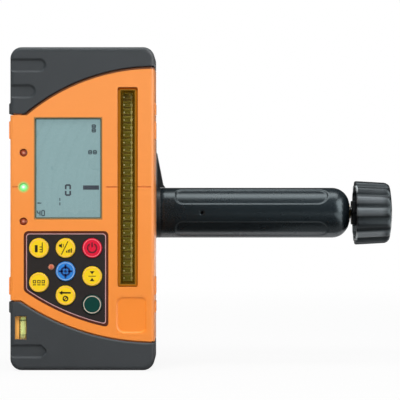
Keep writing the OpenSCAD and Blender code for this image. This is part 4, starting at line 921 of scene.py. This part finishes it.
class RECEIVER_OT_vial(bpy.types.Operator):
    """Build the level vial with its liquid, bubble lines and plug"""
    bl_idname = "receiver.vial"
    bl_label = "Level vial"

    # Heights of the two bubble lines, and half of a line's thickness and width
    line_heights, line_half_t, line_half_w = (18.3, 25.9), 0.05, 0.16

    def execute(self, context):
        dress("level_vial", clear("vial_acrylic", screen(238, 232, 160), 0.34, 0.05), 0.1)
        liquid = Paint("vial_liquid", screen(176, 216, 104), 0.12)
        swirl = liquid.noise(500.0, 2.0)
        tone = liquid.mix(swirl, screen(196, 222, 146), screen(218, 238, 182))
        liquid.feed("Base Color", tone)
        # Painted light: the liquid glows faintly so it looks lit in its deep recess
        liquid.glow(tone, 0.3)
        liquid.feed("Alpha", 0.82 + (swirl - 0.5) * 0.1)
        liquid.feed("Roughness", 0.1 + swirl * 0.08)
        coat("vial_fluid", liquid)
        dress("vial_plug", moulded("vial_plug_plastic", screen(36, 36, 34), 0.5, grain=0.2), 0.08)
        low, high = (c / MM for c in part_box("level_vial"))
        x, y = (low.x + high.x) / 2, (low.y + high.y) / 2
        outer = (high.x - low.x) / 2
        t, w = self.line_half_t, self.line_half_w
        paint = moulded("vial_line_print", screen(28, 34, 20), 0.5, grain=0.2)
        for k, z in enumerate(self.line_heights):
            rings = []
            for out, up in ((-t, -w), (t, -w), (t, w), (-t, w)):
                r = outer + out
                rings.append([
                    ((x + r * cos(a)) * MM, (y + r * sin(a)) * MM, (z + up) * MM)
                    for a in full_turn(36)
                ])
            line = loft("vial_line_%d" % k, paint, rings, wrap=True)
            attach(line, "receiver")
        return {"FINISHED"}


class RECEIVER_OT_inside(bpy.types.Operator):
    """Dress the cells, contacts, buzzer and inserts inside the housing"""
    bl_idname = "receiver.inside"
    bl_label = "Inside pieces"

    def execute(self, context):
        jacket = Paint("cell_jacket", screen(40, 44, 52), 0.3)
        end = jacket.x.size().rise(0.0166, 0.0168)
        wrap = jacket.noise(300.0, 3.0, (0.2, 1.0, 1.0))
        sleeve = jacket.mix(wrap, screen(34, 38, 46), screen(50, 54, 62))
        jacket.feed("Base Color", jacket.mix(end, sleeve, screen(188, 122, 60)))
        jacket.feed("Roughness", 0.26 + wrap * 0.12)
        jacket.feed("Metallic", end * 0.6)
        jacket.bump(wrap, 0.02, 0.3)
        dress("battery_cells", jacket, 0.3)
        dress("battery_contacts", metal("contact_spring_metal", screen(190, 188, 178), 0.28), 0.15)
        brass = metal("brass", screen(196, 160, 86), 0.3, (1.0, 1.0, 3.0))
        for node in ("door_lock_insert", "mount_insert", "screw_nut"):
            dress(node, brass, 0.15)
        dress("buzzer", moulded("buzzer_case", screen(34, 34, 34), 0.45, grain=0.25), 0.3)
        return {"FINISHED"}


class RECEIVER_OT_clamp(bpy.types.Operator):
    """Dress the clamp frame, the jaws, their pads and the mounting screw"""
    bl_idname = "receiver.clamp"
    bl_label = "Clamp"

    def execute(self, context):
        looks = context.scene.receiver_clamp
        plastic = moulded(
            "clamp_plastic", looks.plastic, 0.4, grain=0.4, depth=0.02, mottle=0.08, scuff=0.1,
            edge=looks.edge / MM)
        coat("clamp_frame", plastic)
        coat("sliding_jaw", plastic)
        pads = moulded("pad_rubber", screen(38, 39, 40), 0.75, grain=0.3, depth=0.03)
        for node in ("fixed_jaw_pad", "sliding_jaw_pad"):
            dress(node, pads, 0.18)
        steel = metal("mount_steel", screen(172, 172, 170), 0.28, (1.0, 4.0, 1.0))
        for node in ("mount_screw", "mount_washer", "jaw_clip"):
            dress(node, steel, 0.2)
        return {"FINISHED"}


class RECEIVER_OT_screw(bpy.types.Operator):
    """Build the clamp screw with its thread, in place of the plain rod"""
    bl_idname = "receiver.screw"
    bl_label = "Clamp screw"

    # Radius of the neck in the jaw, and the end's chamfer
    neck, neck_cut = 2.48, 0.3
    # Steps along the screw where its thread shows and where it is hidden, and room at the handle's ends
    fine, coarse, end_room = 0.1875, 3.0, 5.0

    def execute(self, context):
        looks = context.scene.receiver_clamp
        lead, depth = looks.thread_lead / MM, looks.thread_depth / MM
        low, high = (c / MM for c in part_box("clamp_screw"))
        axis = (low + high) / 2
        rod = (high.y - low.y) / 2 - 0.02
        neck_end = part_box("sliding_jaw")[1].x / MM + 0.08
        handle_start, handle_end = (c.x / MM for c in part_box("handle_grip"))

        def ring(x, radius):
            return about_x(x, axis, full_turn(40), radius)

        def plain(radius):
            return lambda t: radius

        def thread(x):
            def radius(t):
                turn = (2 * x / lead - t / pi) % 1.0
                flank = min(1.0, max(0.0, (abs(turn - 0.5) - 0.1) / 0.25))
                return rod - depth * flank
            return radius

        rings = [
            ring(low.x, plain(self.neck - self.neck_cut)), ring(low.x + self.neck_cut, plain(self.neck)),
            ring(neck_end, plain(self.neck)),
        ]
        x = neck_end + 0.05
        rings.append(ring(x, plain(rod - depth)))
        while x < high.x - 1.5:
            shown = x < handle_start - self.end_room or abs(x - handle_end) < self.end_room
            x = min(x + (self.fine if shown else self.coarse), high.x - 0.8)
            rings.append(ring(x, thread(x) if shown else plain(rod - depth / 2)))
        rings.append(ring(high.x, plain(rod - depth - 0.4)))
        steel = metal("rod_steel", screen(150, 151, 152), 0.3, (3.0, 1.0, 1.0))
        stand_for(loft("threaded_clamp_screw", steel, rings), "clamp_screw")
        return {"FINISHED"}


class RECEIVER_OT_handle(bpy.types.Operator):
    """Build the handle grip with its sunk panels, the fluted knob and the lock nut"""
    bl_idname = "receiver.handle"
    bl_label = "Handle and knob"

    panel_l, panel_w, panel_r, panel_depth, panel_lip = 83.5, 11.6, 4.0, 0.7, 1.1
    grip_end_r, grip_bore, grip_end_l = 9.5, 11.0, 13.0
    nut_hole, nut_l, rod_hole = 5.55, 11.0, 3.8
    pin_x, pin_hole = 22.7, 1.05
    flute_count, flute_depth, flute_half, flute_start = 15, 1.4, radians(10.5), radians(4)
    cool_gloss = (0.8, 0.95, 1.0, 1.0)
    # Knob's end: its bulge and the radii of its rings
    bulge, end_rings = 2.0, (0.6, 4.0, 8.0, 12.0, 14.6)
    # Knob's side from its end to its rim: place along it, cut from its radius, share of the flutes
    side_rings = (
        (18.1, 2.4, 0.15), (17.8, 1.9, 0.4), (17.2, 1.45, 0.65), (16.5, 1.1, 0.85), (15.7, 0.9, 1.0),
        (9.0, 0.5, 1.0), (0.5, 0.05, 1.0), (-0.2, 0.12, 1.0), (-0.45, 0.35, 0.9), (-0.6, 0.7, 0.7),
    )
    # Knob's hollow and hub: place along it and radius
    hollow_rings = ((-0.6, 14.6), (11.7, 14.6), (11.7, 6.5), (2.6, 6.5), (2.6, 3.53), (14.7, 3.53))
    # Angles from the top: the grip's painted shade band, the knob's painted shaded lobe and its painted
    # lit lobe
    grip_band, dark_lobe, pale_lobe = radians(127), radians(112), radians(136)

    def from_top(self, paint, node):
        """Angle about a piece's own axis, from straight up towards the front."""
        axis = middle(node) * MM
        ahead = axis.y - paint.y
        return ahead.run("ARCTAN2", paint.z - axis.z)

    def grip(self, paint):
        low, high = (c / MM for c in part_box("handle_grip"))
        axis = (low + high) / 2
        outer = (high.z - low.z) / 2
        panel_x = axis.x - self.panel_r / 2
        pin_x = low.x + self.pin_x
        straight_end = high.x - self.grip_end_r
        angles = full_turn(208)

        def ease(v):
            v = min(1.0, max(0.0, v))
            return v * v * (3 - 2 * v)

        def sunk(x, t):
            """Depth of the sunk panels, with sloped lips, and of the pin hole."""
            corner = self.panel_r if x < panel_x else self.panel_w / 2
            side = abs(outer * sin(t % (pi / 2) - pi / 4)) - self.panel_w / 2 + corner
            ahead = abs(x - panel_x) - self.panel_l / 2 + corner
            away = hypot(max(side, 0.0), max(ahead, 0.0)) + min(max(side, ahead), 0.0) - corner
            from_pin = hypot(x - pin_x, outer * (t - pi / 2))
            hole = 1.1 * ease((self.pin_hole - from_pin) / 0.5 + 0.5)
            return self.panel_depth * ease(0.2 - away / self.panel_lip) + hole

        def ring(x, base):
            return about_x(x, axis, angles, lambda t: base - sunk(x, t))

        def hoop(x, base):
            return about_x(x, axis, angles, lambda t: base)

        rings = [hoop(low.x, outer - 0.2), hoop(low.x + 0.2, outer)]
        fine, coarse = 0.45, 2.5
        x = low.x + coarse
        while x < straight_end:
            rings.append(ring(x, outer))
            from_end = self.panel_l / 2 - abs(x - panel_x)
            at_end = -fine - coarse < from_end < self.panel_w / 2 + 1.0
            at_pin = abs(x - pin_x) < coarse + self.pin_hole
            x += fine if at_end or at_pin else coarse
        inner = outer - self.grip_end_r
        last = acos((self.nut_hole - inner) / self.grip_end_r)
        for k in range(17):
            turn = last * k / 16
            reach = self.grip_end_r * sin(turn)
            rings.append(hoop(straight_end + reach, inner + self.grip_end_r * cos(turn)))
        for x, base in (
            (high.x - self.nut_l, self.nut_hole), (high.x - self.nut_l, self.rod_hole),
            (high.x - self.grip_end_l, self.rod_hole), (high.x - self.grip_end_l, self.grip_bore),
            (low.x, self.grip_bore),
        ):
            rings.append(hoop(x, base))
        stand_for(loft("panelled_grip", paint, rings, wrap=True), "handle_grip")

    def knob(self, paint):
        low, high = (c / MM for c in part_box("clamp_knob"))
        axis = (low + high) / 2
        outer = (high.y - low.y) / 2
        pitch = 2 * pi / self.flute_count
        angles = full_turn(16 * self.flute_count)
        dome = (outer ** 2 + self.bulge ** 2) / (2 * self.bulge)

        def ring(x, base, flute):
            def radius(t):
                off = abs((t - self.flute_start + pitch / 2) % pitch - pitch / 2)
                dip = 0.5 + 0.5 * cos(pi * min(1.0, off / self.flute_half))
                return base - self.flute_depth * flute * dip
            return about_x(low.x + x, axis, angles, radius)

        rings = []
        for base in self.end_rings:
            rings.append(ring(high.x - low.x - dome + sqrt(dome ** 2 - base ** 2), base, 0.0))
        for x, cut, flute in self.side_rings:
            rings.append(ring(x, outer - cut, flute))
        for x, base in self.hollow_rings:
            rings.append(ring(x, base, 0.0))
        stand_for(loft("fluted_knob", paint, rings), "clamp_knob")

    def execute(self, context):
        looks = context.scene.receiver_clamp
        held = moulded(
            "handle_plastic", looks.plastic, 0.28, grain=0.6, depth=0.0015, mottle=0.06,
            scuff=0.04, patchy=0.3, specular_tint=self.cool_gloss)
        lean = self.from_top(held, "handle_grip")
        # Painted shade: a darker band round the grip's lower front; painted reflection: a paler strip
        # along its underside
        held.tint((lean - self.grip_band).size().rise(0.3, 0.2) * 0.4, 10, 13, 16)
        held.tint(lean.rise(radians(140), radians(147)), 84, 87, 90)
        self.grip(held)
        knob_painted_light = moulded(
            "knob_plastic", looks.knob, 0.42, grain=0.4, depth=0.006, mottle=0.06, scuff=0.1,
            specular_tint=self.cool_gloss)
        turn = self.from_top(knob_painted_light, "clamp_knob")
        wave = (turn - self.flute_start) * self.flute_count
        lobe = 0.5 - 0.5 * wave.run("COSINE")
        # Painted light and shade: darker top, a shaded lobe and a lit lobe low on the front, darker
        # underside, dark flute valleys, a darker right end, and painted glints on the left rim near its
        # top and bottom
        knob_painted_light.tint(turn.size().rise(1.0, 0.7) * 0.95, 18, 20, 23)
        knob_painted_light.tint((turn - self.dark_lobe).size().rise(0.24, 0.16) * 0.9, 16, 19, 22)
        knob_painted_light.tint((turn - self.pale_lobe).size().rise(0.22, 0.12) * 0.6, 124, 129, 132)
        knob_painted_light.tint(turn.rise(radians(147), radians(153)) * 0.8, 20, 23, 26)
        knob_painted_light.tint(lobe.rise(0.55, 0.1), 12, 15, 18)
        start, end = (corner.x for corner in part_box("clamp_knob"))
        knob_painted_light.tint(knob_painted_light.x.rise(end - 0.0075, end - 0.003) * 0.9, 14, 16, 19)
        shine = knob_painted_light.x.rise(start + 0.0004, start)
        off = (knob_painted_light.z - middle("clamp_knob").z * MM).size()
        shine *= off.rise(0.0105, 0.0125) * off.rise(0.0152, 0.0145)
        knob_painted_light.tint(shine * 0.5, 190, 198, 200)
        self.knob(knob_painted_light)
        dark = metal("nut_steel", screen(52, 54, 57), 0.35, (3.0, 1.0, 1.0))
        dress("knob_lock_nut", dark, 0.4)
        dress("handle_pin", metal("pin_steel", screen(20, 21, 23), 0.5), 0.12)
        return {"FINISHED"}


class RECEIVER_OT_stage(bpy.types.Operator):
    """Build the floor, the studio lamps, the surround and the camera"""
    bl_idname = "receiver.stage"
    bl_label = "Stage"

    # Metres: place that the lamps aim at, and the floor's half width and height
    aim = Vector((0.06, 0.02, 0.085))
    floor_half, floor_z = 3.0, -0.0002
    # Strength of the floor in gloss: in front, behind, and beside the knob
    gloss_tones = (0.06, 0.5, 3.5)

    def execute(self, context):
        looks = context.scene.receiver_stage
        scene = context.scene
        scene.view_settings.view_transform = "Standard"
        self.floor()
        self.surround(scene, looks)
        front = self.lamp("front_lamp", looks.front, (-0.2, -1.0, 1.6), 1.2, 0.9)
        front.visible_glossy = False
        self.lamp("overhead_lamp", looks.top, (0.06, 0.03, 1.0), 1.0, 0.45)
        side = self.lamp("side_strip", looks.side, (1.15, -0.62, 0.72), 1.1, 1.3)
        side.visible_diffuse = False
        view = bpy.data.cameras.new("front_camera")
        view.sensor_width = 36.0
        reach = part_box("front_shell")[0].y - looks.camera_y
        view.lens = view.sensor_width * reach / looks.view_width
        view.clip_start = 0.05
        camera = bpy.data.objects.new("front_camera", view)
        camera.location = (looks.camera_x, looks.camera_y, looks.camera_z)
        camera.rotation_euler = (pi / 2, 0.0, 0.0)
        scene.collection.objects.link(camera)
        scene.camera = camera
        return {"FINISHED"}

    def floor(self):
        paint = Paint("studio_floor", (0.5, 0.5, 0.5), 0.9)
        paint.fleck((0.48, 0.48, 0.48), (0.52, 0.52, 0.52), 3.0)
        plain = paint.node("ShaderNodeEmission", None, {"Strength": 1.0})
        far = paint.from_axis(60.0, 0.0).rise(0.25, 1.1).run("MAXIMUM", paint.y.size().rise(0.2, 0.9))
        lit = Term(paint, paint.shader.outputs[0])
        dim, rear, card = (
            paint.node("ShaderNodeEmission", None, {"Strength": v}) for v in self.gloss_tones)
        behind = (paint.y + paint.x.rise(0.1, 0.12) * 0.05).rise(0.025, 0.06)
        gloss = paint.blend(behind, dim, rear)
        gloss = paint.blend(paint.x.rise(0.2, 0.3), gloss, card)
        lit = paint.blend(paint.ray("Is Glossy Ray"), lit, gloss)
        white = paint.ray("Is Camera Ray") * (0.9 + far * 0.1)
        paint.show(paint.blend(white, lit, plain), "Material Output")
        half, level = self.floor_half, self.floor_z
        mesh = bpy.data.meshes.new("floor")
        mesh.from_pydata(
            [(-half, -half, level), (half, -half, level), (half, half, level), (-half, half, level)],
            [], [(0, 1, 2, 3)])
        show("floor", mesh, paint)

    def surround(self, scene, looks):
        """White to the camera, a soft light to dull surfaces and a dim one in gloss."""
        scene.world = bpy.data.worlds.new("studio_surround")
        scene.world.use_nodes = True
        graph = Graph(scene.world.node_tree)

        def glow(strength):
            values = {"Color": (1.0, 1.0, 1.0, 1.0), "Strength": strength}
            return graph.node("ShaderNodeBackground", None, values)

        light = graph.blend(graph.ray("Is Glossy Ray"), glow(looks.ambient), glow(looks.sheen))
        graph.show(graph.blend(graph.ray("Is Camera Ray"), light, glow(1.0)), "World Output")

    def lamp(self, name, power, place, wide, high):
        light = bpy.data.lights.new(name, "AREA")
        light.energy = power
        light.shape = "RECTANGLE"
        light.size = wide
        light.size_y = high
        made = bpy.data.objects.new(name, light)
        made.location = place
        made.rotation_euler = (self.aim - Vector(place)).to_track_quat("-Z", "Y").to_euler()
        bpy.context.scene.collection.objects.link(made)
        return made


OPERATORS = (
    RECEIVER_OT_housing, RECEIVER_OT_display, RECEIVER_OT_sensor, RECEIVER_OT_keypad, RECEIVER_OT_lamps,
    RECEIVER_OT_vial, RECEIVER_OT_inside, RECEIVER_OT_clamp, RECEIVER_OT_screw, RECEIVER_OT_handle,
    RECEIVER_OT_stage,
)
LOOKS = {
    "receiver_housing": HousingLooks, "receiver_display": DisplayLooks, "receiver_keypad": KeypadLooks,
    "receiver_clamp": ClampLooks, "receiver_stage": StageLooks,
}


class RECEIVER_PT_panel(bpy.types.Panel):
    """Lists the pieces of the receiver and their looks"""
    bl_label = "Laser Receiver"
    bl_idname = "RECEIVER_PT_panel"
    bl_space_type = "VIEW_3D"
    bl_region_type = "UI"
    bl_category = "Receiver"

    def draw(self, context):
        for operator in OPERATORS:
            self.layout.operator(operator.bl_idname)
        for holder, group in LOOKS.items():
            box = self.layout.box()
            for name in group.__annotations__:
                box.prop(getattr(context.scene, holder), name)


def register():
    for holder, group in LOOKS.items():
        bpy.utils.register_class(group)
        setattr(bpy.types.Scene, holder, bpy.props.PointerProperty(type=group))
    for operator in OPERATORS:
        bpy.utils.register_class(operator)
    bpy.utils.register_class(RECEIVER_PT_panel)


def unregister():
    bpy.utils.unregister_class(RECEIVER_PT_panel)
    for operator in reversed(OPERATORS):
        bpy.utils.unregister_class(operator)
    for holder, group in LOOKS.items():
        delattr(bpy.types.Scene, holder)
        bpy.utils.unregister_class(group)


def main():
    register()
    for operator in OPERATORS:
        group, name = operator.bl_idname.split(".")
        getattr(getattr(bpy.ops, group), name)()


if __name__ == "__main__":
    main()
